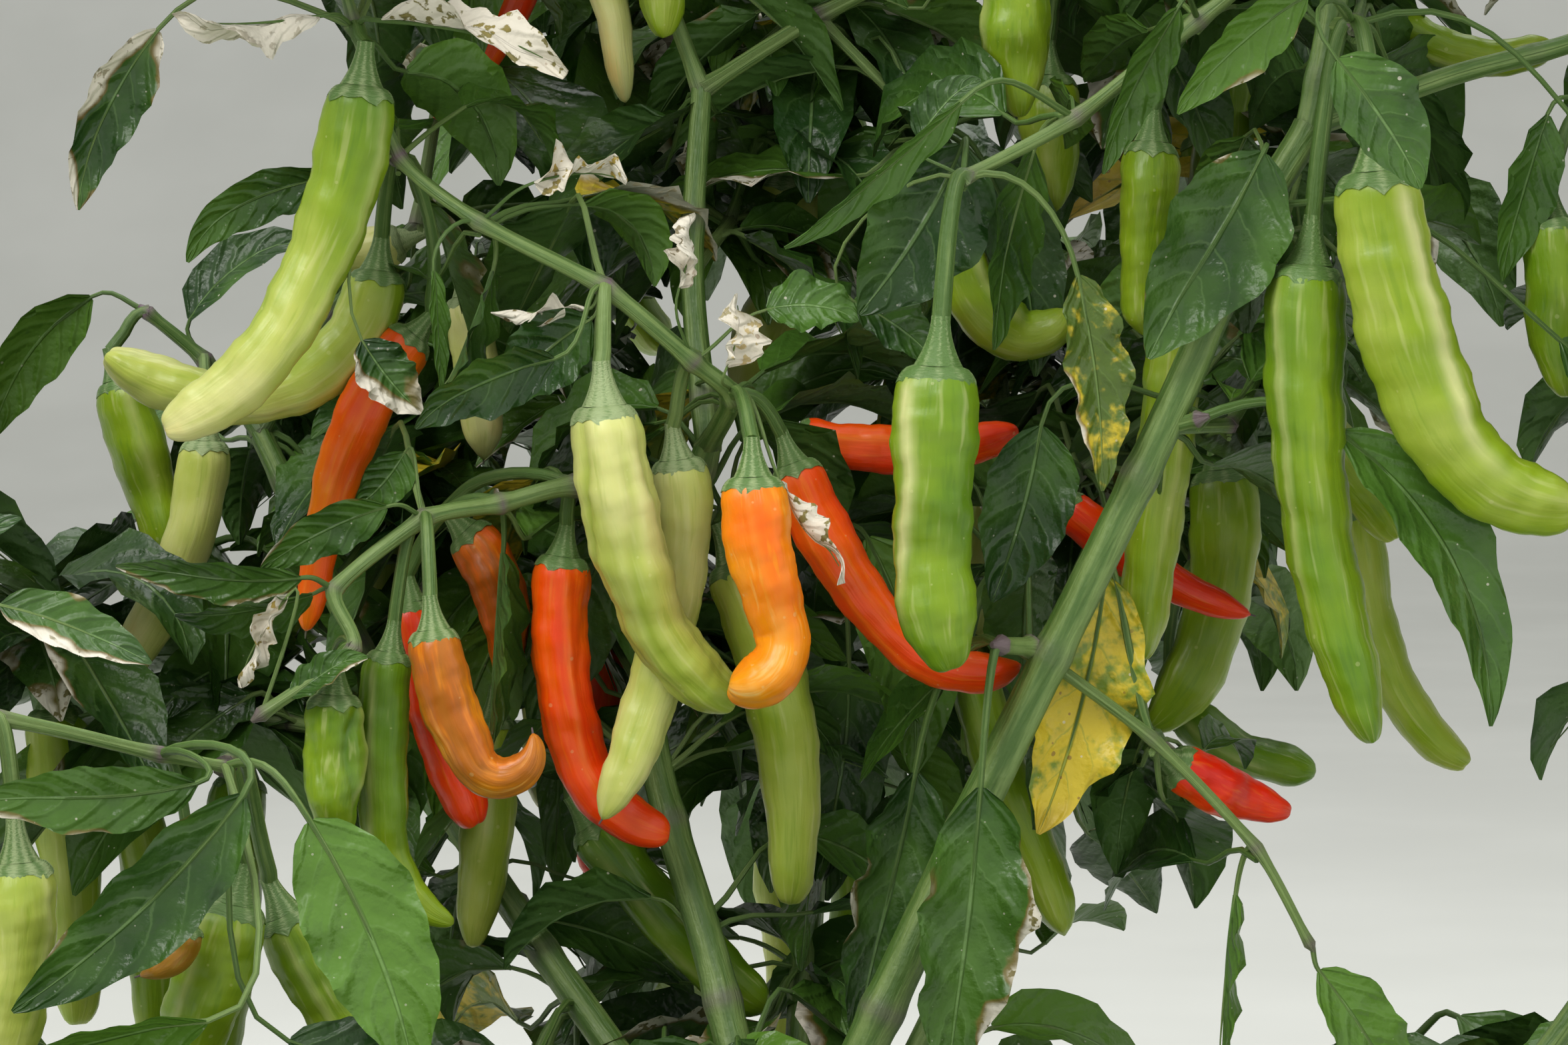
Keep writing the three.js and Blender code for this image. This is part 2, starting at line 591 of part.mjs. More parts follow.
    leaves: [
      [1, [-40, 40, 346], 0, [-120, -110, -100], 56, 22, 76],
      [4, [20, 46, 344], 0, [-60, -84, -96], 60, 24, 78],
      [2, [-66, 46, 326], 0, [-120, -106, -96], 56, 22, 72],
      [3, [-10, 62, 366], 0, [60, 20, -30], 46, 18, 60],
      [4, [16, 66, 312], 0, [-90, -100, -104], 56, 22, 70],
      [2, [-56, 78, 306], 20, [-90, -92, -88], 52, 20, 66],
    ],
  },
  {
    name: 'foliage_back',
    shoots: [{ from: [0, 166, 378], way: [-0.25, 0.35, 0.9], length: 46, radius: 2.3, order: 0, seed: 53 }],
    reach: [[-24, 172, 436], [92, 72, 112]],
  },
  {
    name: 'foliage_back_low',
    shoots: [{ from: [8, 118, 298], way: [0.2, 0.96, -0.1], length: 44, radius: 2.1, order: 0, seed: 59 }],
    reach: [[12, 158, 258], [96, 84, 92]],
  },
  {
    name: 'foliage_left_low',
    shoots: [{ from: [-92, 72, 290], way: [-0.75, 0.5, 0.1], length: 44, radius: 2.1, order: 0, seed: 61 }],
    reach: [[-146, 100, 264], [82, 80, 84]],
  },
  {
    name: 'foliage_left_side',
    shoots: [{
      from: [-214, 22, 280], way: [-0.35, 0.1, 0.93],
      length: 44, radius: 2.1, order: 0, seed: 67,
    }],
    reach: [[-222, 18, 338], [58, 80, 112]],
  },
  {
    name: 'foliage_left_foot',
    shoots: [{
      from: [-165, -78, 214], way: [0.5, -0.6, -0.3],
      length: 40, radius: 2, order: 0, lift: -0.04, seed: 71,
    }],
    reach: [[-130, -88, 186], [96, 70, 66]],
  },
  {
    name: 'foliage_right_side',
    shoots: [{ from: [212, 20, 268], way: [0.25, 0.1, 0.96], length: 46, radius: 2.1, order: 0, seed: 73 }],
    reach: [[222, 18, 322], [54, 84, 104]],
  },
  {
    name: 'foliage_right_low',
    shoots: [{
      from: [156, 16, 198], way: [0.3, 0.9, 0.1],
      length: 42, radius: 2, order: 0, lift: 0, seed: 79,
    }],
    reach: [[160, 52, 200], [92, 84, 70]],
  },
  {
    name: 'foliage_front_right',
    shoots: [{
      from: [136, -84, 214], way: [0.8, -0.3, 0.0],
      length: 42, radius: 2.1, order: 0, lift: 0.02, seed: 83,
    }],
    reach: [[136, -92, 196], [108, 70, 70]],
  },
  {
    name: 'foliage_front_low',
    shoots: [{
      from: [44, -36, 176], way: [-0.5, -0.8, 0],
      length: 42, radius: 2, order: 0, lift: 0, seed: 89,
    }],
    reach: [[0, -84, 176], [100, 74, 64]],
  },
  {
    name: 'foliage_left_foot_side',
    shoots: [{
      from: [-76, 4, 158], way: [-0.5, -0.4, 0.3],
      length: 38, radius: 1.9, order: 0, lift: 0, seed: 97,
    }],
    reach: [[-116, 6, 178], [84, 72, 56]],
  },
  {
    name: 'foliage_centre',
    shoots: [{
      from: [-33, 46, 305], way: [-0.3, 0.86, 0.41],
      length: 40, radius: 1.9, order: 1, seed: 338,
    }],
    reach: [[-49, 91, 326], [62, 56, 66]],
  },
  {
    name: 'foliage_centre_high',
    shoots: [{
      from: [-22, 42, 408], way: [0.21, 0.93, 0.31],
      length: 40, radius: 1.9, order: 1, seed: 350,
    }],
    reach: [[-11, 90, 424], [62, 56, 66]],
  },
  {
    name: 'foliage_left_middle',
    shoots: [{
      from: [-112, 84, 330], way: [0.3, 0.81, 0.51],
      length: 40, radius: 1.9, order: 1, seed: 338,
    }],
    reach: [[-96, 126, 356], [62, 56, 66]],
  },
  {
    name: 'foliage_right_middle',
    shoots: [{
      from: [92, 112, 336], way: [-0.3, 0.81, 0.51],
      length: 40, radius: 1.9, order: 1, seed: 352,
    }],
    reach: [[76, 154, 362], [62, 56, 66]],
  },
  {
    name: 'foliage_trunk_right',
    shoots: [{
      from: [1, 1, 98], way: [0.86, 0.3, 0.41],
      length: 44, radius: 1.9, order: 1, lift: 0.05, seed: 233,
    }],
    reach: [[70, 24, 116], [72, 62, 56]],
  },
  {
    name: 'foliage_trunk_left',
    shoots: [{
      from: [2, 1, 84], way: [-0.71, 0.61, 0.35],
      length: 44, radius: 1.9, order: 1, lift: 0.05, seed: 239,
    }],
    reach: [[-52, 52, 108], [70, 62, 56]],
  },
];

// Where things may grow.
// Balls along everything that is placed, so that fruit, leaves and limbs keep apart.
const taken = [];
const middles = [];

function inOpening([x, y, z]) {
  const k = (EYE + y) / EYE;
  const u = x / k;
  const v = (z - FRAME_MIDDLE) / k;
  if (Math.abs(u) > FRAME_HALF[0] || Math.abs(v) > FRAME_HALF[1]) return false;
  return y < FRONT_FREE || OPENINGS.some(([u0, u1, v0, v1]) => u > u0 && u < u1 && v > v0 && v < v1);
}

function within([middle, half], point, share) {
  const d = sub(point, middle).map((v, i) => v / (half[i] * share));
  return dot(d, d) <= 1;
}

function blocked(points, radius, root) {
  return taken.some((ball) => gapBetween(ball.at, root) > ball.radius + 3
    && points.some((p) => gapBetween(p, ball.at) < ball.radius + radius));
}

function keep(points, radius) {
  points.forEach((at) => taken.push({ at, radius }));
}

function placeFruit(fruit, reach) {
  const points = [3, 7, 11, 15, 19].map((i) => spine(fruit)[i]);
  if (reach) {
    if (points.some((p) => inOpening(p) || p[2] < GROUND_CLEAR)) return false;
    if (!within(reach, points[4], 1.25) || blocked(points, fruit.width / 2 + 1.5, fruit.root)) return false;
  }
  keep(points, fruit.width / 2);
  return true;
}

function placeLeaf(leaf, reach) {
  const points = [4, 8, 12, 16, 20].map((i) => spine(leaf)[i]);
  if (reach) {
    if (points.some((p) => inOpening(p) || p[2] < GROUND_CLEAR)) return false;
    if (!within(reach, points[4], 1.35) || blocked(points, 3, leaf.root)) return false;
    if (middles.some((p) => gapBetween(p, points[2]) < SPACING)) return false;
  }
  middles.push(points[2]);
  return true;
}

// Seeded growth.
// Each shoot is one length of twig. At its node come three leaves, at times a fruit, and two shoots.
function grow(shoot, reach, pieces) {
  const dice = new Dice(shoot.seed);
  const end = add(shoot.from, shoot.way, shoot.length);
  const middle = add(shoot.from, shoot.way, shoot.length * 0.5);
  if (shoot.order > 0 && (!within(reach, end, 1) || inOpening(end) || end[2] < GROUND_CLEAR
    || blocked([middle, end], 2, shoot.from))) return;
  const radii = [shoot.radius, shoot.radius * TAPER];
  pieces.twigs.push({ points: [shoot.from, end], radii, chain: shoot.chain });
  const across = anySide(shoot.way);
  const deep = cross(shoot.way, across);
  const heading = (Math.atan2(shoot.way[1], shoot.way[0]) * 180) / Math.PI;
  for (let k = 0; k < NODE_LEAVES; k += 1) {
    const azimuth = heading + 60 + k * 120 + dice.between(-45, 45);
    const rise = dice.between(-30, 40);
    const stalk = dice.between(13, 24);
    const start = dice.between(-35, 8);
    const fall = dice.between(-95, -45);
    const length = dice.between(LEAF_LENGTH[0], LEAF_LENGTH[1]) * (shoot.order < LAST_ORDER ? 1 : 0.88);
    const width = length * dice.between(LEAF_SLIM[0], LEAF_SLIM[1]);
    const roll = dice.between(-40, 40);
    const root = add(end, shoot.way, -STAGGER * (k + 0.3));
    const leaf = {
      root,
      node: end,
      base: add(root, wayOf(azimuth, rise), stalk),
      azimuth,
      bends: [start, mix(start, fall, 0.55), fall],
      length,
      width,
      roll,
    };
    if (placeLeaf(leaf, reach)) pieces.leaves.push(leaf);
  }
  const chance = dice.roll();
  const azimuth = heading + 180 + dice.between(-70, 70);
  const out = dice.between(5, 12);
  const drop = dice.between(24, 34);
  const lean = dice.between(-96, -74);
  const bend = dice.between(-34, 40);
  const root = add(end, shoot.way, -STAGGER * (NODE_LEAVES + 0.2));
  const fruit = {
    root,
    node: end,
    base: add(add(root, wayOf(azimuth, 0), out), [0, 0, -drop]),
    azimuth,
    bends: [lean, lean + bend * 0.4, lean + bend],
    length: dice.between(FRUIT_LENGTH[0], FRUIT_LENGTH[1]),
    width: dice.between(FRUIT_WIDTH[0], FRUIT_WIDTH[1]),
  };
  if (chance < FRUIT_CHANCE && placeFruit(fruit, reach)) pieces.fruits.push(fruit);
  const plane = (shoot.plane ?? dice.between(0, Math.PI)) + radians(90) + dice.between(-0.5, 0.5);
  for (let k = 0; k < 2; k += 1) {
    const fork = radians(dice.between(FORK_ANGLE[0], FORK_ANGLE[1])) * (k === 0 ? 1 : -1);
    const length = shoot.length * dice.between(SHORTEN[0], SHORTEN[1]);
    const seed = dice.seed();
    if (shoot.order >= LAST_ORDER) continue;
    const aside = add(across.map((v) => v * Math.cos(plane)), deep, Math.sin(plane));
    const turned = add(shoot.way.map((v) => v * Math.cos(fork)), aside, Math.sin(fork));
    grow({
      from: end,
      way: unit(add(turned, [0, 0, shoot.lift ?? LIFT])),
      lift: shoot.lift,
      length,
      radius: shoot.radius * THINNER,
      order: shoot.order + 1,
      chain: k === 0 ? shoot.chain : seed,
      plane,
      seed,
    }, reach, pieces);
  }
}

// What each mass is made of.
function named(mass) {
  const pieces = { twigs: [], fruits: [], leaves: [] };
  const nodes = mass.nodes ?? [];
  (mass.stems ?? []).forEach(([chain, radius]) => {
    const radii = chain.map((_, i) => mix(radius[0], radius[1], i / (chain.length - 1)));
    pieces.twigs.push({ points: chain.map((n) => nodes[n]), radii, chain: -chain[1] });
  });
  (mass.fruits ?? []).forEach(([n, base, azimuth, bends, length, width]) => {
    const fruit = { root: nodes[n], node: nodes[n], base, azimuth, bends, length, width, named: true };
    placeFruit(fruit, null);
    pieces.fruits.push(fruit);
  });
  (mass.leaves ?? []).forEach(([n, base, azimuth, bends, length, width, roll]) => {
    const leaf = { root: nodes[n], node: nodes[n], base, azimuth, bends, length, width, roll, named: true };
    placeLeaf(leaf, null);
    pieces.leaves.push(leaf);
  });
  return pieces;
}

// Clearances.
function boxOf(solid) {
  const box = solid.boundingBox();
  return [box.min, box.max];
}

function boxesNear(a, b, gap) {
  return a[0].every((v, i) => v - gap < b[1][i]) && b[0].every((v, i) => v - gap < a[1][i]);
}

const wrap = (solid, root = null) => ({ solid, root, box: boxOf(solid) });

function clear(piece, others) {
  return others.every((other) => !boxesNear(piece.box, other.box, ROOM)
    || piece.solid.minGap(other.solid, 1) >= ROOM);
}

function largest(solid) {
  return solid.decompose().reduce((best, body) => (body.volume() > best.volume() ? body : best));
}

// One closed body with no hollow and no scrap, as it stands after its corners are merged.
function settled(solid) {
  const { numProp, vertProperties, triVerts } = largest(solid.asOriginal().simplify(FINE / 4)).getMesh();
  const geometry = new THREE.BufferGeometry();
  geometry.setAttribute('position', new THREE.Float32BufferAttribute(vertProperties, numProp));
  geometry.setIndex(Array.from(triVerts));
  return largest(solidOf(geometry));
}

// Putting the plant together.
const trunk = { ...TRUNK, solid: trunkSolid(TRUNK), wide: trunkSolid(TRUNK, GAP) };
const limbs = [trunk];
LIMBS.forEach((limb) => {
  let solid = limbSolid(limb);
  limbs.forEach((other) => {
    if (boxesNear(boxOf(solid), boxOf(other.wide), 0)) solid = solid.subtract(other.wide);
  });
  limbs.push({ ...limb, solid: largest(solid), wide: limbSolid(limb, GAP) });
});
limbs.forEach((limb) => keep(limbPath(limb), limb.radius[0]));
const limbWraps = limbs.map((limb) => wrap(limb.solid));

const pieceLists = MASSES.map(named);
MASSES.forEach((mass, n) => {
  (mass.shoots ?? []).forEach((shoot) => grow({ ...shoot, chain: shoot.seed }, mass.reach, pieceLists[n]));
});

const masses = [];
MASSES.forEach((mass, n) => {
  const pieces = pieceLists[n];
  const own = [];
  const stemRoot = pieces.twigs[0].points[0];
  const take = (solids, root, firm) => {
    const piece = wrap(solids.full, root);
    const body = wrap(solids.body, root);
    const atBase = gapBetween(root, stemRoot) < 12;
    const test = atBase || firm ? body : piece;
    if (!clear(test, limbWraps) || !clear(piece, masses)) return;
    if (clear(body, own.filter((other) => gapBetween(other.root, root) > 0.1))) own.push(piece);
  };
  const alive = [];
  const isAlive = (root) => alive.some((p) => gapBetween(p, root) < 0.1);
  const chains = new Map();
  pieces.twigs.forEach((twig) => {
    const [from] = twig.points;
    const first = gapBetween(from, stemRoot) < 0.1;
    if (!first && !isAlive(from)) return;
    const piece = wrap(twigSolid(twig.points, twig.radii));
    if ((!first && !clear(piece, limbWraps)) || !clear(piece, masses)) return;
    alive.push(...twig.points);
    const chain = chains.get(twig.chain) ?? { points: [from], radii: [twig.radii[0]] };
    chain.points.push(...twig.points.slice(1));
    chain.radii.push(...twig.radii.slice(1));
    chains.set(twig.chain, chain);
  });
  const twigs = [...chains.values()].map(({ points, radii }) => twigSolid(points, radii));
  pieces.fruits.forEach((fruit) => {
    if (!isAlive(fruit.node)) return;
    const shape = fruit.named
      ? { ...fruit, cuts: [0, 0.15, 0.4, 0.65, 0.9, 1], sides: 5, bow: 2 }
      : { ...fruit, cuts: [0, 0.2, 0.6, 1], sides: 4, bow: 2 };
    take(fruitSolids(shape), fruit.node, fruit.named);
  });
  pieces.leaves.forEach((leaf) => {
    if (!isAlive(leaf.node)) return;
    const shape = leaf.named
      ? { ...leaf, cuts: [0, 0.3, 0.7], bow: 1 }
      : { ...leaf, cuts: [0, 0.42], bow: 1 };
    take(leafSolids(shape), leaf.node, leaf.named);
  });
  let solid = wasm.Manifold.union([...twigs, ...own.map((piece) => piece.solid)]);
  solid = solid.asOriginal().simplify(FINE);
  limbs.forEach((limb) => {
    if (boxesNear(boxOf(solid), boxOf(limb.wide), 0)) solid = solid.subtract(limb.wide);
  });
  solid = settled(solid);
  masses.push({ name: mass.name, ...wrap(solid) });
});

// Meshes.
function mesh(name, solid, color, roughness) {
  const { numProp, vertProperties, triVerts } = solid.getMesh();
  const geometry = new THREE.BufferGeometry();
  geometry.setAttribute('position', new THREE.Float32BufferAttribute(vertProperties, numProp));
  geometry.setIndex(Array.from(triVerts));
  geometry.computeVertexNormals();
  const out = new THREE.Mesh(geometry, new THREE.MeshStandardMaterial({ color, roughness, metalness: 0 }));
  out.name = name;
  return out;
}

const plant = new THREE.Group();
plant.name = 'chilli_pepper_plant';
limbs.forEach(({ name, solid }) => {
  plant.add(mesh(name, solid, name === 'trunk' ? WOOD_GREEN : STEM_GREEN, 0.6));
});
masses.forEach(({ name, solid }) => plant.add(mesh(name, solid, LEAF_GREEN, 0.5)));

export default plant;
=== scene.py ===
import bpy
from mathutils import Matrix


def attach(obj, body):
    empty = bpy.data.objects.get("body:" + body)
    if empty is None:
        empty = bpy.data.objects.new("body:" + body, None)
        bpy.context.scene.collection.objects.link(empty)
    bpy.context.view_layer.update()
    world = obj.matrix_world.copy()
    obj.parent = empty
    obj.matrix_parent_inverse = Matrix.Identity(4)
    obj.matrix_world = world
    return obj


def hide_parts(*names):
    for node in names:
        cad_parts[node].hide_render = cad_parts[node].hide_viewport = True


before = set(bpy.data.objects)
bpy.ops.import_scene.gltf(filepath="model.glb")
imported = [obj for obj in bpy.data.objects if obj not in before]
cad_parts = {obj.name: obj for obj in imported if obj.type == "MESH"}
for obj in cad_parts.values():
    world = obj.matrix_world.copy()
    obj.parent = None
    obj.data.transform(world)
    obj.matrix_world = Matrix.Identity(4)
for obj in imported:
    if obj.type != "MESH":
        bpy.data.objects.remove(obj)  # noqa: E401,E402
"""A chilli pepper plant, rooted in the ground, dressed for its close view and whole from all sides.

The limbs and the twig rule repeat the ones of the CAD source, so every leaf and fruit hangs where its
solid is. The rule is carried on to finer twigs here.
"""
import logging
import math
from dataclasses import dataclass, field, replace
from enum import Enum
from typing import Callable, Iterable, Optional, Sequence

import bpy
import numpy as np
from mathutils import Vector

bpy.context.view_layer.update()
log = logging.getLogger("chilli")
Vec = tuple[float, float, float]
Span = tuple[float, float]
Material, Node, Piece = bpy.types.Material, bpy.types.Node, bpy.types.Object
Socket, Sockets, Tree = bpy.types.NodeSocket, bpy.types.NodeOutputs, bpy.types.NodeTree

MM = 0.001
CIRCLE = 2 * math.pi
# Sizes of the growth rule, in millimetres and degrees, as in the CAD source.
STAGGER = 2.6
LAST_ORDER = 3
NODE_LEAVES = 3
LAST_SHRINK = 0.88
FORK_ANGLE = (24, 38)
SHORTEN = (0.74, 0.9)
THINNER = 0.78
TAPER = 0.86
LIFT = 0.16
FRUIT_CHANCE = 0.5
GROUND_CLEAR = 14
# Room that new growth needs, and the steps of its spine at which that is looked at.
SPACING, CLOSE_SPACING = 12, 9
ROOT_ROOM, TWIG_ROOM, LEAF_ROOM, FRUIT_ROOM = 3, 2, 3, 1.5
LEAF_PICKS, FRUIT_PICKS = (4, 8, 12, 16, 20), (3, 7, 11, 15, 19)
LEAF_WIDEN, FRUIT_WIDEN = 1.35, 1.25
LEAF_MIDDLE = 12
STEPS = 20
# The front view: its eye, its middle, its half sizes, and the openings that nothing seeded fills.
EYE = 1000
FRAME_MIDDLE = 350
FRAME_HALF = (184, 124)
FRONT_FREE = 24
OPENINGS = (
    (-190, -104, 30, 130), (-190, -150, -6, 30), (158, 190, -46, 6), (158, 190, 62, 96),
    (96, 190, -130, -66), (-26, -4, -8, 22),
)
# What is added beyond the solids: leaves of a node, leaves round bare nodes, and the last sprigs.
FILL_LEAVES, DRESS_LEAVES, SPRIG_LEAVES = 5, 10, 4
BACK_TURN, FULL_TURN = 88, 180
DRESS_REACH = (70, 70, 70)
SPRIG_LENGTH, SPRIG_WIDEN, SPRIG_ROOM = 0.42, 1.04, 1.5
BLOSSOM_CHANCE = 0.45
# Looks of seeded growth: shares of old and bleached leaves; ripeness by share of the fruit.
OLD_LEAVES, BLEACHED_LEAVES = 0.05, 0.16
RIPENESS = ((0.55, 0.14, 0.3), (0.76, 0.36, 0.46), (0.86, 0.66, 0.82), (1.1, 0.92, 0.97))
PLAIN_LEAF = (0, 0, 0.4)
# A fruit whose hook is tighter than that of its solid: length and slopes, by its base.
HOOKED = {(-80, -12, 326): (52, (-84, -62, 100))}
# Places on the boughs that bear leaves only: mass, bough and shares of its length.
BARE_NODES = (
    ("foliage_centre", "bough_centre", (0.22, 0.4, 0.58)),
    ("foliage_left_low", "bough_left_back", (0.25, 0.4, 0.55, 0.72)),
    ("foliage_back_low", "bough_back", (0.25, 0.42, 0.6)),
    ("foliage_back_low", "bough_right_back", (0.25, 0.42, 0.6)),
    ("foliage_trunk_left", "bough_front_left", (0.3, 0.5)),
)


def add(a: Vec, b: Vec, k: float = 1.0) -> Vec:
    """Return a + b * k."""
    return (a[0] + b[0] * k, a[1] + b[1] * k, a[2] + b[2] * k)


def sub(a: Vec, b: Vec) -> Vec:
    """Return a - b."""
    return (a[0] - b[0], a[1] - b[1], a[2] - b[2])


def dot(a: Vec, b: Vec) -> float:
    """Return the dot product of two vectors."""
    return a[0] * b[0] + a[1] * b[1] + a[2] * b[2]


def cross(a: Vec, b: Vec) -> Vec:
    """Return the cross product of two vectors."""
    return (a[1] * b[2] - a[2] * b[1], a[2] * b[0] - a[0] * b[2], a[0] * b[1] - a[1] * b[0])


def times(a: Vec, k: float) -> Vec:
    """Return a * k."""
    return (a[0] * k, a[1] * k, a[2] * k)


def size(a: Vec) -> float:
    """Return the length of a vector."""
    return math.sqrt(dot(a, a))


def unit(a: Vec) -> Vec:
    """Return the vector of length one that points the same way."""
    return times(a, 1 / size(a))


def gap(a: Vec, b: Vec) -> float:
    """Return the distance between two points."""
    return size(sub(a, b))


def mix(a: float, b: float, t: float) -> float:
    """Return the value a share t of the way from a to b."""
    return a + (b - a) * t


def mix_points(a: Vec, b: Vec, t: float) -> Vec:
    """Return the point a share t of the way from a to b."""
    return (mix(a[0], b[0], t), mix(a[1], b[1], t), mix(a[2], b[2], t))


def way_of(azimuth: float, elevation: float) -> Vec:
    """Return the unit vector of an azimuth and an elevation, in degrees."""
    a, e = math.radians(azimuth), math.radians(elevation)
    return (math.cos(e) * math.cos(a), math.cos(e) * math.sin(a), math.sin(e))


def any_side(way: Vec) -> Vec:
    """Return some unit vector square to a way."""
    return unit(cross(way, (0, 0, 1) if abs(way[2]) < 0.9 else (1, 0, 0)))


class Dice:
    """A seeded row of numbers, the same one as in the CAD source."""

    def __init__(self, seed: int) -> None:
        """Start the row.

        Args:
            seed: Whole number that fixes the row.
        """
        self.state = seed
        self.roll()
        self.roll()

    def roll(self) -> float:
        """Return the next number, from 0 up to 1."""
        self.state = (self.state * 1664525 + 1013904223) % 4294967296
        return self.state / 4294967296

    def between(self, low: float, high: float) -> float:
        """Return the next number in a range."""
        return low + (high - low) * self.roll()

    def seed(self) -> int:
        """Return a seed for another row."""
        return math.floor(self.roll() * 1000000) + 1


@dataclass(frozen=True)
class LeafRule:
    """Ranges that the leaves of a node are drawn from.

    Attributes:
        turn: Azimuth, off an even spread.
        start: Slope at the base of the blade.
        fall: Slope at its tip.
        length: Length of the blade.
        rise: Slope of the stalk.
        stalk: Length of the stalk.
        slim: Width as a share of the length.
        roll: Degrees that the blade is turned about its own length.
        bend: Share of the fall at 60 % of the length.
        stalk_first: Whether the stalk is drawn before the blade.
    """

    turn: Span
    start: Span
    fall: Span
    length: Span
    rise: Span
    stalk: Span
    slim: Span = (0.38, 0.48)
    roll: Span = (-40, 40)
    bend: float = 0.55
    stalk_first: bool = False


@dataclass(frozen=True)
class FruitRule:
    """Ranges that the fruit are drawn from.

    Attributes:
        turn: Azimuth, off the back of the shoot.
        out: How far the stalk reaches out.
        drop: How far it drops.
        lean: Slope at the top of the fruit.
        bend: How far the slope changes by its tip.
        length: Length.
        width: Greatest width.
        early: Share of the bend at 60 % of the length.
    """

    turn: Span = (-70, 70)
    out: Span = (5, 12)
    drop: Span = (24, 34)
    lean: Span = (-96, -74)
    bend: Span = (-34, 40)
    length: Span = (58, 96)
    width: Span = (12.5, 18)
    early: float = 0.4


LEAVES = LeafRule((-45, 45), (-35, 8), (-95, -45), (54, 84), (-30, 40), (13, 24), stalk_first=True)
FILLING = LeafRule((-40, 40), (-30, 40), (-90, -30), (30, 58), (-20, 50), (6, 13))
DRESSING = LeafRule((-88, 88), (-40, 40), (-95, -30), (30, 58), (-50, 60), (9, 34), roll=(-60, 60))
SPRIGS = LeafRule((-40, 40), (-10, 50), (-80, -10), (20, 44), (0, 60), (4, 10), (0.36, 0.46), (-35, 35), 0.6)
FRUITS = FruitRule()


class Zone(Enum):
    """The part of the crown that a mass of foliage belongs to."""

    CLUSTER = "cluster"
    LEFT = "left"
    RIGHT = "right"
    TOP = "top"
    BACK = "back"


@dataclass
class Limb:
    """A tapering limb.

    Attributes:
        name: Its CAD node.
        points: Points of its curve.
        radius: Radius at its start and its end.
        rings: Spans of its path.
    """

    name: str
    points: Sequence[Vec]
    radius: Span
    rings: int

    def at(self, t: float) -> Vec:
        """Return a point of the curve.

        Args:
            t: Share of the way along it.

        Returns:
            The point.
        """
        spans = len(self.points) - 1
        n = min(spans - 1, math.floor(t * spans))
        u = t * spans - n
        p1, p2 = self.points[n], self.points[n + 1]
        p0 = self.points[n - 1] if n > 0 else sub(add(p1, p1), p2)
        p3 = self.points[n + 2] if n + 2 <= spans else sub(add(p2, p2), p1)
        return tuple(
            0.5 * (2 * v + (c - a) * u + (2 * a - 5 * v + 4 * c - d) * u * u
                   + (3 * v - a - 3 * c + d) * u * u * u)
            for a, v, c, d in zip(p0, p1, p2, p3))

    def path(self, count: Optional[int] = None) -> list[Vec]:
        """Return points along the curve."""
        count = count or self.rings
        return [self.at(i / count) for i in range(count + 1)]


@dataclass
class Shoot:
    """The first length of a seeded run of twigs.

    Attributes:
        start: Where it starts.
        way: Unit vector along it.
        length: Its length.
        radius: Radius at its start.
        order: Forks below it.
        seed: Seed of what grows at its node.
        lift: How far its shoots turn up.
        plane: Angle of the fork that it came from.
    """

    start: Vec
    way: Vec
    length: float
    radius: float
    order: int
    seed: int
    lift: float = LIFT
    plane: Optional[float] = None


@dataclass
class Mass:
    """A mass of foliage.

    Attributes:
        name: Its CAD node.
        zone: Part of the crown.
        nodes: Twig nodes that the front view shows.
        stems: Chains of nodes, each with the radius at both ends.
        fruits: Node, base of the cup, azimuth, slopes, length, width and look: ripeness at both ends,
        ribs, brown and, on a striped fruit, the angle in degrees from the front view of its pale
        stripe, which is a painted highlight.
        leaves: Node, base of the blade, azimuth, slopes, length, width, roll and, where it isn't
            plain, look: age, bleach, wave and at times how light its green is.
        shoots: First lengths of its seeded twigs.
        reach: Middle and half sizes of the space it keeps to.
    """

    name: str
    zone: Zone
    nodes: Sequence[Vec] = ()
    stems: Sequence[tuple] = ()
    fruits: Sequence[tuple] = ()
    leaves: Sequence[tuple] = ()
    shoots: Sequence[Shoot] = ()
    reach: Optional[tuple[Vec, Vec]] = None


@dataclass
class Hanging:
    """A leaf or a fruit, on a bent stalk, that bends in the upright plane of its azimuth.

    Attributes:
        root: Where its stalk leaves the twig.
        base: Where its blade or flesh starts.
        azimuth: Degrees round +Z.
        bends: Slope at the start, at 60 % and at the end.
        length: Length of its blade or flesh.
        width: Greatest width.
        look: Shares that its colours and relief take.
        seed: Seed of its small differences.
        roll: Degrees that a blade is turned about its own length.
        near: Whether the close view shows it well.
    """

    root: Vec
    base: Vec
    azimuth: float
    bends: Vec
    length: float
    width: float
    look: tuple
    seed: int
    roll: float = 0.0
    near: bool = False

    def slope(self, t: float) -> float:
        """Return the slope at a share of the length."""
        a, b, c = self.bends
        return mix(a, b, t / 0.6) if t < 0.6 else mix(b, c, (t - 0.6) / 0.4)

    def spine(self, steps: int = STEPS) -> list[Vec]:
        """Return the points of its middle line.

        Args:
            steps: Number of steps.

        Returns:
            One point more than the steps.
        """
        points = [self.base]
        for i in range(steps):
            way = way_of(self.azimuth, self.slope((i + 0.5) / steps))
            points.append(add(points[i], way, self.length / steps))
        return points

    def stalk(self, count: int) -> list[Vec]:
        """Return the points of its stalk.

        Args:
            count: Number of spans.

        Returns:
            Points from the twig to the base.
        """
        reach = gap(self.root, self.base)
        start = way_of(self.azimuth, self.slope(0))
        level = sub(self.base, self.root)
        p1 = add(self.root, (level[0] * 0.5, level[1] * 0.5, level[2] * 0.1 + reach * 0.22))
        p2 = add(self.base, start, -reach * 0.4)
        points = []
        for i in range(count + 1):
            u = i / count
            v = 1 - u
            parts = ((self.root, v ** 3), (p1, 3 * v * v * u), (p2, 3 * v * u * u), (self.base, u ** 3))
            points.append(tuple(sum(p[k] * w for p, w in parts) for k in range(3)))
        return points


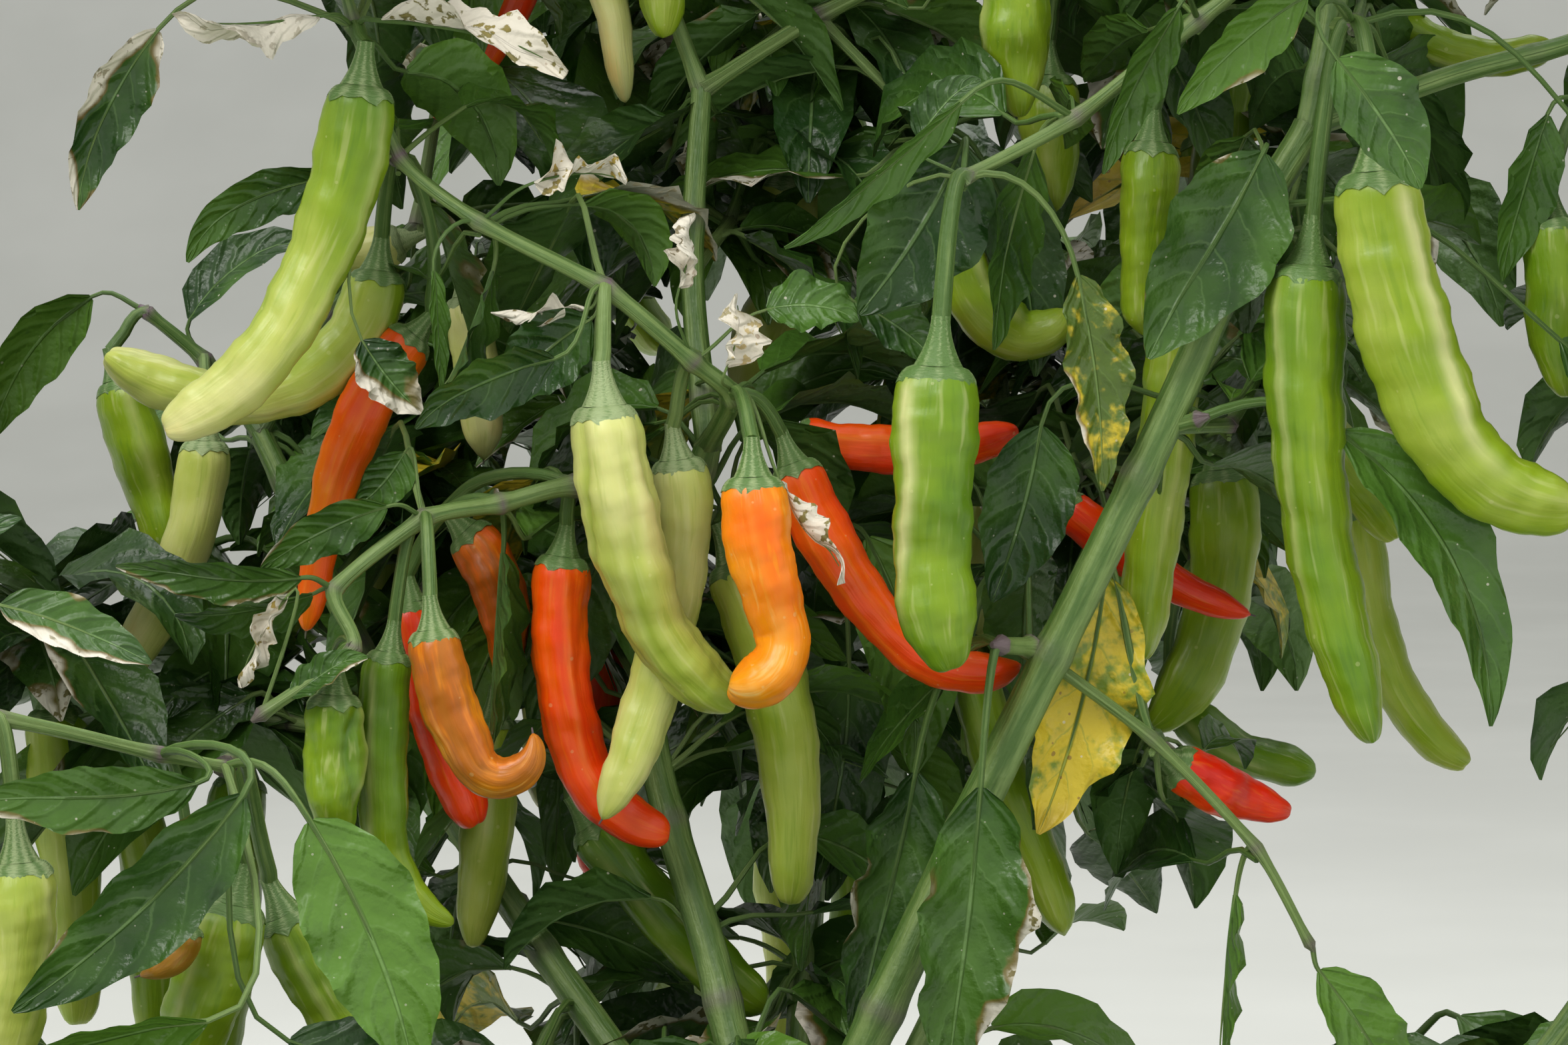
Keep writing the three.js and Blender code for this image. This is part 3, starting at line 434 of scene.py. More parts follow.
@dataclass
class Twig:
    """A run of twig.

    Attributes:
        points: Its nodes.
        radii: Radius at each node.
        near: Whether the close view shows it well.
    """

    points: list[Vec]
    radii: list[float]
    near: bool = False


@dataclass
class Growth:
    """Everything that grows in one mass.

    Attributes:
        mass: The mass.
        twigs: Its twigs.
        fruits: Its fruit.
        leaves: Its leaves.
        blossoms: Place and way of each flower or bud.
        tips: Last shoots, with their forks, from which finer twigs grow.
    """

    mass: Mass
    twigs: list[Twig] = field(default_factory=list)
    fruits: list[Hanging] = field(default_factory=list)
    leaves: list[Hanging] = field(default_factory=list)
    blossoms: list[tuple[Vec, Vec]] = field(default_factory=list)
    tips: list[Shoot] = field(default_factory=list)


class Plant:
    """The growth rule, with the room that is already taken."""

    def __init__(self, limbs: Sequence[Limb], masses: Sequence[Mass]) -> None:
        """Grow the whole plant.

        Args:
            limbs: Trunk and boughs.
            masses: Masses of foliage.
        """
        self.taken: list[tuple[Vec, float]] = []
        self.middles: list[Vec] = []
        for limb in limbs:
            self.keep(limb.path(), limb.radius[0])
        self.growths = [self.named(mass) for mass in masses]
        for growth in self.growths:
            for shoot in growth.mass.shoots:
                self.grow(shoot, growth)
        for growth in self.growths:
            self.dress(growth, growth.mass.nodes, BACK_TURN)
            bare = [limb.at(share) for name, bough, shares in BARE_NODES if name == growth.mass.name
                    for limb in limbs if limb.name == bough for share in shares]
            self.dress(growth, bare, FULL_TURN)
            for tip in growth.tips:
                self.sprig(tip, growth)

    def keep(self, points: Iterable[Vec], radius: float) -> None:
        """Take room for a ball of some radius round each point."""
        self.taken.extend((point, radius) for point in points)

    def blocked(self, points: Sequence[Vec], radius: float, root: Vec) -> bool:
        """Tell whether something is in the way.

        Args:
            points: Points of the new thing.
            radius: Its radius.
            root: Where it is rooted.

        Returns:
            True when a ball that isn't at its root is too close.
        """
        for at, room in self.taken:
            if gap(at, root) > room + ROOT_ROOM and any(gap(p, at) < room + radius for p in points):
                return True
        return False

    @staticmethod
    def in_opening(point: Vec) -> bool:
        """Tell whether a point would fill an opening of the front view or stand in front of it.

        Args:
            point: The point.

        Returns:
            True when nothing seeded may be there.
        """
        x, y, z = point
        k = (EYE + y) / EYE
        u, v = x / k, (z - FRAME_MIDDLE) / k
        if abs(u) > FRAME_HALF[0] or abs(v) > FRAME_HALF[1]:
            return False
        return y < FRONT_FREE or any(a < u < b and c < v < d for a, b, c, d in OPENINGS)

    @staticmethod
    def within(reach: tuple[Vec, Vec], point: Vec, share: float) -> bool:
        """Tell whether a point lies in the space of a mass, widened by a share."""
        d = tuple((p - m) / (h * share) for p, m, h in zip(point, *reach))
        return dot(d, d) <= 1

    def fits(self, thing: Hanging, picks: Sequence[int], reach: tuple[Vec, Vec], share: float,
             room: float) -> bool:
        """Tell whether a seeded leaf or fruit has its place.

        Args:
            thing: The leaf or fruit.
            picks: Steps of its spine that are looked at.
            reach: Space of its mass.
            share: How far that space is widened.
            room: Clearance that it needs.

        Returns:
            True when it has.
        """
        spine = thing.spine()
        points = [spine[i] for i in picks]
        if any(self.in_opening(p) or p[2] < GROUND_CLEAR for p in points):
            return False
        return self.within(reach, points[-1], share) and not self.blocked(points, room, thing.root)

    def place_fruit(self, fruit: Hanging, reach: Optional[tuple[Vec, Vec]]) -> bool:
        """Place a fruit when it has room.

        Args:
            fruit: The fruit.
            reach: Space of its mass, or None for a named one.

        Returns:
            True when it is placed.
        """
        if reach and not self.fits(fruit, FRUIT_PICKS, reach, FRUIT_WIDEN, fruit.width / 2 + FRUIT_ROOM):
            return False
        spine = fruit.spine()
        self.keep([spine[i] for i in FRUIT_PICKS], fruit.width / 2)
        return True

    def place_leaf(self, leaf: Hanging, reach: Optional[tuple[Vec, Vec]], spacing: float = SPACING) -> bool:
        """Place a leaf when it has room.

        Args:
            leaf: The leaf.
            reach: Space of its mass, or None for a named one.
            spacing: Least distance to the middle of another leaf.

        Returns:
            True when it is placed.
        """
        middle = leaf.spine()[LEAF_MIDDLE]
        if reach:
            if not self.fits(leaf, LEAF_PICKS, reach, LEAF_WIDEN, LEAF_ROOM):
                return False
            if any(gap(p, middle) < spacing for p in self.middles):
                return False
        self.middles.append(middle)
        return True

    def named(self, mass: Mass) -> Growth:
        """Place what the front view shows of a mass.

        Args:
            mass: The mass.

        Returns:
            Its growth so far.
        """
        out = Growth(mass)
        near = mass.zone is Zone.CLUSTER or mass.name == "foliage_front_left"
        for chain, (thick, thin) in mass.stems:
            radii = [mix(thick, thin, i / (len(chain) - 1)) for i in range(len(chain))]
            out.twigs.append(Twig([mass.nodes[n] for n in chain], radii, True))
        for i, (n, base, azimuth, bends, length, width, look) in enumerate(mass.fruits):
            fruit = Hanging(mass.nodes[n], base, azimuth, bends, length, width, look, 31 * i + 7, near=near)
            self.place_fruit(fruit, None)
            out.fruits.append(fruit)
        for i, (n, base, azimuth, bends, length, width, roll, *look) in enumerate(mass.leaves):
            leaf = Hanging(mass.nodes[n], base, azimuth, bends, length, width,
                           look[0] if look else PLAIN_LEAF, 17 * i + 3, roll, near)
            self.place_leaf(leaf, None)
            out.leaves.append(leaf)
        return out

    @staticmethod
    def leaf_look(seed: int) -> tuple:
        """Return the age, bleach and wave of a seeded leaf.

        Args:
            seed: Its seed.

        Returns:
            Three shares.
        """
        dice = Dice(seed)
        age = 0.0 if dice.roll() > OLD_LEAVES else dice.between(0.4, 1)
        bleach = 0.0 if dice.roll() > BLEACHED_LEAVES else dice.between(0.15, 0.52)
        return age, bleach, dice.between(0.3, 0.7)

    @staticmethod
    def fruit_look(seed: int) -> tuple:
        """Return the ripeness at both ends, the ribs and the brown of a seeded fruit.

        Args:
            seed: Its seed.

        Returns:
            Four shares.
        """
        dice = Dice(seed + 1)
        stage = dice.roll()
        low, high = next((low, high) for share, low, high in RIPENESS if stage < share)
        ripe = dice.between(low, high)
        return ripe, min(0.98, ripe + dice.between(0.0, 0.08)), dice.between(0.2, 0.6), 0

    def draw_leaf(self, dice: Dice, rule: LeafRule, root: Vec, toward: float, seeds: tuple[int, int],
                  shrink: float = 1) -> Hanging:
        """Draw a leaf by a rule.

        Args:
            dice: Row of numbers.
            rule: The rule.
            root: Where its stalk leaves the twig.
            toward: Azimuth that it turns about.
            seeds: Seed of its look and of its small differences.
            shrink: Share of its length that is kept.

        Returns:
            The leaf.
        """
        azimuth = toward + dice.between(*rule.turn)
        stalk = [dice.between(*rule.rise), dice.between(*rule.stalk)] if rule.stalk_first else []
        start, fall = dice.between(*rule.start), dice.between(*rule.fall)
        length = dice.between(*rule.length) * shrink
        rise, out = stalk or (dice.between(*rule.rise), dice.between(*rule.stalk))
        return Hanging(root, add(root, way_of(azimuth, rise), out), azimuth,
                       (start, mix(start, fall, rule.bend), fall), length, length * dice.between(*rule.slim),
                       self.leaf_look(seeds[0]), seeds[1], dice.between(*rule.roll))

    def draw_fruit(self, dice: Dice, rule: FruitRule, root: Vec, toward: float, seed: int) -> Hanging:
        """Draw a fruit by a rule.

        Args:
            dice: Row of numbers.
            rule: The rule.
            root: Where its stalk leaves the twig.
            toward: Azimuth that it turns about.
            seed: Its seed.

        Returns:
            The fruit.
        """
        azimuth = toward + dice.between(*rule.turn)
        out, drop, lean, bend, length, width = (dice.between(*span) for span in (
            rule.out, rule.drop, rule.lean, rule.bend, rule.length, rule.width))
        base = add(add(root, way_of(azimuth, 0), out), (0, 0, -drop))
        return Hanging(root, base, azimuth, (lean, lean + bend * rule.early, lean + bend), length, width,
                       self.fruit_look(seed), seed)

    def grow(self, shoot: Shoot, out: Growth) -> None:
        """Grow a shoot: one length of twig, leaves and at times a fruit at its node, and two shoots.

        Args:
            shoot: The shoot.
            out: Growth of its mass.
        """
        dice = Dice(shoot.seed)
        reach = out.mass.reach
        end = add(shoot.start, shoot.way, shoot.length)
        middle = add(shoot.start, shoot.way, shoot.length * 0.5)
        if shoot.order > 0 and (
                not self.within(reach, end, 1) or self.in_opening(end) or end[2] < GROUND_CLEAR
                or self.blocked([middle, end], TWIG_ROOM, shoot.start)):
            return
        out.twigs.append(Twig([shoot.start, end], [shoot.radius, shoot.radius * TAPER]))
        across = any_side(shoot.way)
        deep = cross(shoot.way, across)
        heading = math.degrees(math.atan2(shoot.way[1], shoot.way[0]))
        for k in range(NODE_LEAVES):
            root = add(end, shoot.way, -STAGGER * (k + 0.3))
            seed = shoot.seed + 11 * k
            leaf = self.draw_leaf(dice, LEAVES, root, heading + 60 + k * 120, (seed, seed),
                                  1 if shoot.order < LAST_ORDER else LAST_SHRINK)
            if self.place_leaf(leaf, reach):
                out.leaves.append(leaf)
        self.fill(shoot, end, heading, out)
        chance = dice.roll()
        root = add(end, shoot.way, -STAGGER * (NODE_LEAVES + 0.2))
        fruit = self.draw_fruit(dice, FRUITS, root, heading + 180, shoot.seed + 5)
        if chance < FRUIT_CHANCE and self.place_fruit(fruit, reach):
            out.fruits.append(fruit)
        first = shoot.plane if shoot.plane is not None else dice.between(0, math.pi)
        plane = first + math.radians(90) + dice.between(-0.5, 0.5)
        for side in (1, -1):
            fork = math.radians(dice.between(*FORK_ANGLE)) * side
            length = shoot.length * dice.between(*SHORTEN)
            seed = dice.seed()
            aside = add(times(across, math.cos(plane)), deep, math.sin(plane))
            turned = add(times(shoot.way, math.cos(fork)), aside, math.sin(fork))
            child = Shoot(end, unit(add(turned, (0, 0, shoot.lift))), length, shoot.radius * THINNER,
                          shoot.order + 1, seed, shoot.lift, plane)
            if shoot.order < LAST_ORDER:
                self.grow(child, out)
            else:
                out.tips.append(child)

    def fill(self, shoot: Shoot, end: Vec, heading: float, out: Growth) -> None:
        """Add the smaller leaves of a node.

        Args:
            shoot: The shoot that ends in the node.
            end: The node.
            heading: Azimuth of the shoot.
            out: Growth of its mass.
        """
        dice = Dice(shoot.seed + 77)
        for k in range(FILL_LEAVES):
            root = add(end, shoot.way, -shoot.length * 0.09 * k)
            seed = shoot.seed + 19 * k
            leaf = self.draw_leaf(dice, FILLING, root, heading + 72 * k, (seed, seed))
            if self.place_leaf(leaf, out.mass.reach, CLOSE_SPACING):
                out.leaves.append(leaf)

    def dress(self, out: Growth, nodes: Sequence[Vec], spread: float) -> None:
        """Add leaves round nodes that would be bare.

        Args:
            out: Growth of a mass.
            nodes: The nodes.
            spread: How far the leaves turn from the back, to both sides.
        """
        rule = replace(DRESSING, turn=(-spread, spread))
        for i, node in enumerate(nodes):
            dice = Dice(i * 37 + len(out.mass.name) * 101)
            for k in range(DRESS_LEAVES):
                root = add(node, (0, 0, -0.4 * k))
                leaf = self.draw_leaf(dice, rule, root, 90, (i * 7 + k, 29 * i + k))
                if self.place_leaf(leaf, (node, DRESS_REACH), CLOSE_SPACING):
                    out.leaves.append(leaf)

    def sprig(self, shoot: Shoot, out: Growth) -> None:
        """Grow the finer twigs, small leaves and blossom beyond the last order of the solids.

        Args:
            shoot: The shoot, of which a part of the length is used.
            out: Growth of its mass.
        """
        dice = Dice(shoot.seed)
        reach = out.mass.reach
        end = add(shoot.start, shoot.way, shoot.length * SPRIG_LENGTH)
        if not self.within(reach, end, SPRIG_WIDEN) or self.in_opening(end) or self.blocked(
                [end], SPRIG_ROOM, shoot.start):
            return
        out.twigs.append(Twig([shoot.start, end], [shoot.radius, shoot.radius * 0.7]))
        heading = math.degrees(math.atan2(shoot.way[1], shoot.way[0]))
        for k in range(SPRIG_LEAVES):
            root = add(end, shoot.way, -1.2 * k)
            seed = shoot.seed + 13 * k
            leaf = self.draw_leaf(dice, SPRIGS, root, heading + 90 * k, (seed, seed))
            if self.place_leaf(leaf, reach, CLOSE_SPACING):
                out.leaves.append(leaf)
        if dice.roll() < BLOSSOM_CHANCE:
            side = way_of(heading + dice.between(-60, 60), dice.between(-50, 10))
            out.blossoms.append((add(end, side, 9), side))


def seeded(name: str, zone: Zone, shoot: Shoot, middle: Vec, half: Vec) -> Mass:
    """Return a mass that one shoot fills, in a space with a middle and half sizes."""
    return Mass(name, zone, shoots=(shoot,), reach=(middle, half))


TRUNK = Limb("trunk", ((0, 0, 0), (0, 0, 30), (2, 1, 90), (-1, 2, 150), (0, 2, 190)), (9, 6.6), 9)
LIMBS = (
    Limb("bough_right", ((0, 2, 184), (21, 3, 232), (46, 5, 285), (87, 0, 371), (107, 0, 417), (121, 2, 441)),
         (5.4, 3.7), 9),
    Limb("bough_centre", ((-1, 2, 184), (-16, 26, 240), (-33, 46, 305), (-18, 27, 367)), (4.8, 3.2), 6),
    Limb("bough_left_back", ((0, 2, 172), (-40, 34, 220), (-92, 72, 290), (-132, 92, 368)), (4.4, 2.8), 6),
    Limb("bough_right_back", ((0, 2, 166), (36, 46, 225), (74, 92, 300), (108, 128, 372)), (4.4, 2.8), 6),
    Limb("bough_back", ((0, 2, 154), (4, 58, 215), (8, 118, 298), (0, 166, 378)), (4.4, 2.8), 6),
    Limb("bough_front_left", ((0, 2, 146), (-72, -40, 172), (-165, -78, 214), (-198, -94, 286)),
         (4.2, 2.6), 6),
    Limb("bough_front_right", ((0, 2, 150), (44, -36, 176), (96, -66, 196), (136, -84, 214)), (4, 2.6), 5),
    Limb("bough_left_side", ((0, 1, 122), (-76, 4, 158), (-160, 14, 206), (-214, 22, 280)), (4.2, 2.6), 6),
    Limb("bough_right_side", ((0, 1, 130), (76, 6, 160), (156, 16, 198), (212, 20, 268)), (4.2, 2.6), 6),
    Limb("bough_right_top", ((121, 2, 441), (126, 4, 466), (132, 7, 506)), (3.5, 2.8), 4),
    Limb("bough_right_out", ((121, 2, 441), (154, 9, 453), (186, 16, 462), (214, 24, 476)), (2.6, 2.1), 4),
    Limb("bough_centre_up", ((-18, 27, 367), (-22, 42, 408), (-20, 54, 452)), (3.1, 2.5), 4),
)

MASSES = (
    Mass("foliage_upper_left", Zone.CLUSTER,
         nodes=((-18, 27, 367), (-12, 8, 379), (-21, 2, 387), (-41, -4, 404), (-70, -2, 419),
                (-89, 4, 434), (-99, 6, 464)),
         stems=(((0, 1, 2, 3, 4, 5, 6), (2.5, 1.3)),),
         fruits=(
             (1, (-7, -15, 361), 0, (-88, -70, -195), 57, 15, (0.74, 0.68, 0.35, 0)),
             (1, (2, 14, 363), 0, (-70, -48, 18), 78, 13, (0.86, 0.9, 0.3, 0)),
             (1, (3, 42, 368), 0, (-12, 4, 20), 54, 11, (0.88, 0.92, 0.2, 0)),
             (2, (-25, 13, 364), 25, (-82, -108, -120), 86, 14, (0.45, 0.45, 0.7, 0)),
             (3, (-41, -10, 377), 25, (-86, -66, -30), 80, 17, (0.49, 0.34, 1.1, 0)),
             (6, (-97, 0, 450), 8, (-96, -120, -160), 96, 17, (0.2, 0.48, 0.4, 0)),
             (5, (-96, 28, 408), 0, (-96, -182, -216), 83, 15, (0.3, 0.44, 0.3, 0)),
             (5, (-87, 24, 393), 0, (-130, -104, -98), 75, 12, (0.82, 0.8, 0.3, 0)),
         ),
         leaves=(
             (5, (-105, 13, 430), -6, (-172, -152, -112), 42, 12, 66),
             (4, (-80, -8, 408), 0, (-84, -88, -92), 28, 7, 30, (0, 0, 0.3)),
             (3, (-52, -16, 388), 10, (-168, -154, -128), 36, 16, 60, (0.05, 0, 0.6)),
             (3, (-44, -8, 397), -10, (-150, -135, -116), 30, 17, 74, (0, 0.1, 0.4)),
             (2, (-4, 2, 399), 0, (14, -8, -40), 22, 14, 64, (0, 0.15, 0.8)),
             (5, (-97, -2, 392), 8, (-60, -50, -36), 22, 13, 80, (0, 0.35, 0.9)),
             (4, (-57, -8, 428), 0, (20, 0, -24), 22, 10, 50, (0.2, 1, 1)),
             (2, (-24, -4, 404), 0, (70, 84, 110), 17, 9, 60, (0.1, 0.9, 1)),
             (3, (-45, -8, 399), 0, (-170, -184, -176), 22, 6, 55, (0.1, 1, 0.8)),
             (1, (-13, -8, 386), 0, (66, 84, 120), 17, 11, 70, (0.5, 0.9, 1)),
             (1, (-1, -12, 360), 0, (-66, -44, -76), 28, 7, 70, (0.1, 1, 0.8)),
             (6, (-92, -4, 465), -10, (-4, -14, -40), 46, 13, 58, (0.1, 0.8, 0.9)),
             (6, (-106, -4, 466), 10, (-170, -178, -200), 34, 11, 55, (0.1, 0.9, 0.9)),
             (6, (-143, -4, 463), 0, (-130, -112, -96), 46, 15, 62, (0, 0.4, 0.8)),
             (4, (-68, 16, 408), 40, (-110, -120, -150), 40, 18, 50, (0, 0.05, 0.4)),
         ),
         shoots=(Shoot((-99, 6, 464), (-0.28, 0.2, 0.94), 40, 1.4, 1, 101),),
         reach=((-116, 24, 522), (84, 70, 66))),
    Mass("foliage_lower_left", Zone.CLUSTER,
         nodes=((-20, 30, 355), (-49, 12, 358), (-66, 8, 354), (-83, 0, 351), (-103, -8, 335),
                (-98, -13, 322), (-119, -16, 307)),
         stems=(((0, 1, 2, 3, 4, 5, 6), (2.4, 1.4)),),
         fruits=(
             (1, (-52, 18, 341), 0, (-98, -74, -8), 78, 14, (0.86, 0.93, 0.7, 0)),
             (1, (-76, 34, 346), 0, (-48, -84, -96), 38, 13, (0.8, 0.78, 0.3, 0.7)),
             (3, (-91, 0, 320), 0, (-98, -86, -20), 70, 12, (0.14, 0.28, 0.5, 0)),
             (3, (-80, -12, 326), 0, (-82, -42, 88), 58, 13, (0.72, 0.7, 1, 0.85)),
             (2, (-88, 22, 330), 0, (-82, -74, -64), 56, 12, (0.92, 0.95, 0.3, 0)),
             (5, (-103, -9, 311), 0, (-92, -90, -86), 36, 14, (0.17, 0.24, 1, 0)),
         ),
         leaves=(
             (4, (-110, -12, 338), -8, (-172, -190, -184), 44, 11, 62, (0, 0.25, 0.4)),
             (4, (-108, -8, 334), 12, (-160, -176, -186), 32, 13, 40, (0, 0, 0.5)),
             (3, (-91, -6, 354), 0, (-164, -152, -140), 33, 12, 66, (0, 0.1, 0.4)),
             (3, (-88, 6, 366), 0, (-120, -132, -150), 17, 11, 72, (0, 0, 0.3)),
             (6, (-113, -14, 334), 0, (-128, -118, -100), 24, 8, 50, (0.2, 0.85, 0.9)),
             (6, (-112, -16, 311), 0, (40, 30, 0), 20, 8, 60, (0, 0.2, 0.5)),
             (2, (-66, 18, 342), 60, (-100, -96, -90), 48, 19, 70),
             (5, (-106, 8, 312), 60, (-96, -100, -100), 44, 17, 80),
         )),
    Mass("foliage_front_left", Zone.LEFT,
         nodes=((-198, -94, 286), (-188, -97, 310), (-165, -95, 314), (-131, -92, 306), (-118, -88, 303)),
         stems=(((0, 1, 2, 3, 4), (2, 1.2)),),
         fruits=(
             (4, (-119, -66, 271), 0, (-104, -112, -116), 58, 17, (0.22, 0.26, 0.3, 0)),
             (4, (-110, -50, 266), 0, (-66, -56, -46), 56, 15, (0.24, 0.3, 0.3, 0)),
             (2, (-160, -98, 284), 0, (-86, -100, -106), 46, 15, (0.38, 0.42, 0.3, 0)),
             (3, (-127, -82, 268), 0, (-100, -140, -160), 14, 8, (0.3, 0.3, 0.3, 1)),
         ),
         leaves=(
             (3, (-121, -110, 302), 0, (-166, -182, -176), 48, 15, 70, (0, 0.1, 0.4)),
             (3, (-111, -113, 300), 0, (-126, -140, -146), 66, 20, 76, (0, 0.05, 0.5)),
             (4, (-99, -99, 293), 0, (-58, -70, -80), 60, 25, 80, (0, 0, 0.5)),
             (2, (-163, -100, 338), 0, (-12, -24, -30), 34, 12, 60, (0, 0.25, 0.4)),
             (1, (-184, -97, 350), 0, (8, 14, 18), 26, 9, 62, (0, 0.1, 0.3)),
             (4, (-118, -118, 254), 0, (-176, -160, -150), 52, 18, 40),
             (4, (-104, -96, 246), 0, (-20, -16, -30), 44, 17, 44),
         ),
         shoots=(Shoot((-198, -94, 286), (-0.62, -0.1, 0.74), 40, 1.8, 1, 41),),
         reach=((-206, -84, 292), (66, 62, 88))),
    Mass("foliage_node_low", Zone.CLUSTER,
         nodes=((57, 3, 321), (50, -5, 322), (86, 10, 299), (110, 4, 274), (122, 0, 252)),
         stems=(((0, 1), (2.2, 1.9)), ((0, 2, 3, 4), (1.5, 1.1))),
         fruits=(
             (2, (92, 22, 292), 20, (-30, -22, -12), 34, 12, (0.96, 0.96, 0.2, 0)),
         ),
         leaves=(
             (1, (45, -10, 290), 0, (-94, -98, -94), 70, 27, 78, (0, 0.24, 0.95)),
             (1, (31, 20, 290), 10, (-100, -106, -100), 66, 24, 80, (0, 0.1, 0.9)),
             (2, (75, 12, 337), 0, (-96, -106, -114), 63, 26, 80, (0.62, 0, 0.9)),
             (4, (124, 0, 246), 0, (-52, -58, -70), 44, 18, 64),
             (3, (106, 12, 262), 40, (-100, -96, -90), 48, 18, 50),
         )),
    Mass("foliage_node_middle", Zone.CLUSTER,
         nodes=((88, 0, 372), (95, -4, 374), (104, 14, 372)),
         stems=(((0, 1), (1.9, 1.6)), ((0, 2), (1.9, 1.5))),
         fruits=(
             (2, (118, 34, 380), 0, (-46, -52, -60), 46, 13, (0.26, 0.3, 0.2, 0)),
         ),
         leaves=(
             (1, (127, -6, 371), 0, (-36, -66, -92), 80, 20, 64),
             (2, (60, 12, 372), 0, (-100, -106, -112), 43, 22, 82, (0, 0, 0.4, 0.05)),
         )),
    Mass("foliage_node_high", Zone.CLUSTER,
         nodes=((107, 0, 417), (101, -6, 419), (116, 10, 420)),
         stems=(((0, 1), (2.1, 1.8)), ((0, 2), (1.9, 1.5))),
         fruits=(
             (2, (93, 26, 395), 0, (-96, -97, -93), 80, 14, (0.28, 0.3, 0.4, 0.1)),
         ),
         leaves=(
             (1, (109, -10, 435), 0, (-116, -122, -116), 54, 29, 78, (0, 0.05, 0.4)),
             (1, (178, -4, 392), 0, (-40, -56, -70), 50, 18, 60),
         )),
    Mass("foliage_right", Zone.CLUSTER,
         nodes=((126, 4, 464), (130, -5, 464)),
         stems=(((0, 1), (2.3, 2)),),
         fruits=(
             (1, (120, -5, 409), 0, (-95, -78, -72), 112, 19, (0.19, 0.22, 0.5, 0)),
             (1, (134, -16, 430), 0, (-86, -64, 4), 98, 20, (0.31, 0.3, 0.3, 0, -22)),
             (1, (146, 40, 468), 0, (-40, -4, 26), 40, 10, (0.24, 0.3, 0.3, 0)),
         ),
         leaves=(
             (1, (121, -46, 454), 0, (-50, -58, -66), 34, 20, 72, (0, 0, 0.3)),
             (1, (184, -6, 438), 0, (-50, -62, -76), 46, 19, 60, (0, 0, 0.3)),
             (1, (118, -16, 470), 0, (-150, -136, -120), 40, 15, 60, (0, 0.1, 0.4)),
         )),
    Mass("foliage_middle", Zone.CLUSTER,
         nodes=((127, 4, 472), (112, 6, 478), (96, 10, 466), (67, 2, 443), (41, -8, 429)),
         stems=(((0, 1, 2, 3, 4), (2.2, 1.5)),),
         fruits=(
             (4, (35, -14, 386), 0, (-93, -90, -72), 70, 19, (0.21, 0.19, 0.4, 0, 54)),
             (2, (86, 20, 438), 0, (-94, -92, -88), 44, 14, (0.22, 0.26, 0.3, 0)),
         ),
         leaves=(
             (4, (41, 2, 437), 0, (-112, -124, -128), 46, 28, 78, (0, 0, 0.6, 0.08)),
             (4, (31, -4, 438), 0, (60, 44, 20), 20, 11, 66, (0, 0, 0.5)),
             (3, (40, -16, 446), 0, (-136, -140, -152), 52, 10, 40, (0, 0, 0.5)),
             (4, (67, -8, 407), 0, (-78, -84, -88), 50, 15, 70, (0.27, 0.15, 0.9)),
             (4, (16, 8, 401), 0, (-24, -40, -60), 26, 13, 62, (0, 0, 0.6)),
             (3, (58, 12, 436), 30, (-110, -104, -96), 48, 20, 66),
             (2, (90, -4, 468), 0, (-120, -116, -104), 42, 13, 50),
         )),
    Mass("foliage_centre_top", Zone.TOP,
         nodes=((-20, 54, 452), (8, 60, 470), (46, 50, 487), (68, 66, 480), (36, 60, 442)),
         stems=(((0, 1, 2, 3), (2.1, 1.3)), ((1, 4), (1.5, 1.2))),
         fruits=(
             (2, (55, 32, 478), 0, (-90, -88, -86), 34, 16, (0.24, 0.3, 1, 0)),
             (3, (65, 68, 456), 0, (-88, -87, -86), 32, 14, (0.26, 0.3, 0.3, 0)),
             (4, (42, 60, 414), 0, (-84, -30, 74), 42, 14, (0.24, 0.3, 0.3, 0)),
         ),
         leaves=(
             (4, (48, 62, 436), 0, (-60, -80, -92), 56, 20, 70),
             (3, (84, 60, 474), 0, (-50, -66, -80), 52, 19, 60),
         ),
         shoots=(Shoot((-20, 54, 452), (-0.35, 0.1, 0.93), 46, 2.1, 0, 7),),
         reach=((-18, 46, 522), (84, 66, 88))),
    Mass("foliage_left_back", Zone.TOP,
         nodes=((-132, 92, 368), (-146, 94, 386), (-160, 92, 398), (-114, 92, 398), (-92, 90, 420)),
         stems=(((0, 1, 2), (2.2, 1.5)), ((0, 3, 4), (2.1, 1.5))),
         fruits=(
             (2, (-167, 90, 381), 0, (-74, -74, -76), 46, 14, (0.26, 0.3, 0.3, 0)),
             (1, (-144, 80, 366), 0, (-92, -120, -134), 74, 13, (0.44, 0.5, 0.3, 0)),
             (4, (-96, 90, 416), 0, (-160, -172, -184), 30, 11, (0.5, 0.52, 0.3, 0)),
             (4, (-80, 94, 402), 0, (-80, -84, -90), 40, 12, (0.48, 0.5, 0.3, 0)),
         ),
         leaves=(
             (2, (-174, 92, 402), 0, (-150, -120, -100), 46, 17, 60),
             (1, (-150, 96, 396), 0, (60, 30, -20), 40, 15, 50),
         ),
         shoots=(Shoot((-92, 90, 420), (0.15, 0.2, 0.97), 44, 1.8, 1, 19),
                 Shoot((-160, 92, 398), (-0.8, 0.3, 0.5), 38, 1.6, 1, 23)),
         reach=((-138, 106, 428), (92, 62, 108))),
    seeded("foliage_right_top", Zone.TOP, Shoot((132, 7, 506), (0.1, 0.05, 0.99), 36, 2.2, 0, 31),
           (128, 6, 554), (84, 72, 62)),
    Mass("foliage_right_out", Zone.RIGHT,
         nodes=((214, 24, 476), (206, 16, 462), (188, 12, 446)),
         stems=(((0, 1, 2), (1.9, 1.4)),),
         fruits=(
             (2, (178, 10, 420), 0, (-86, -84, -80), 42, 14, (0.2, 0.24, 0.3, 0)),
         ),
         leaves=(
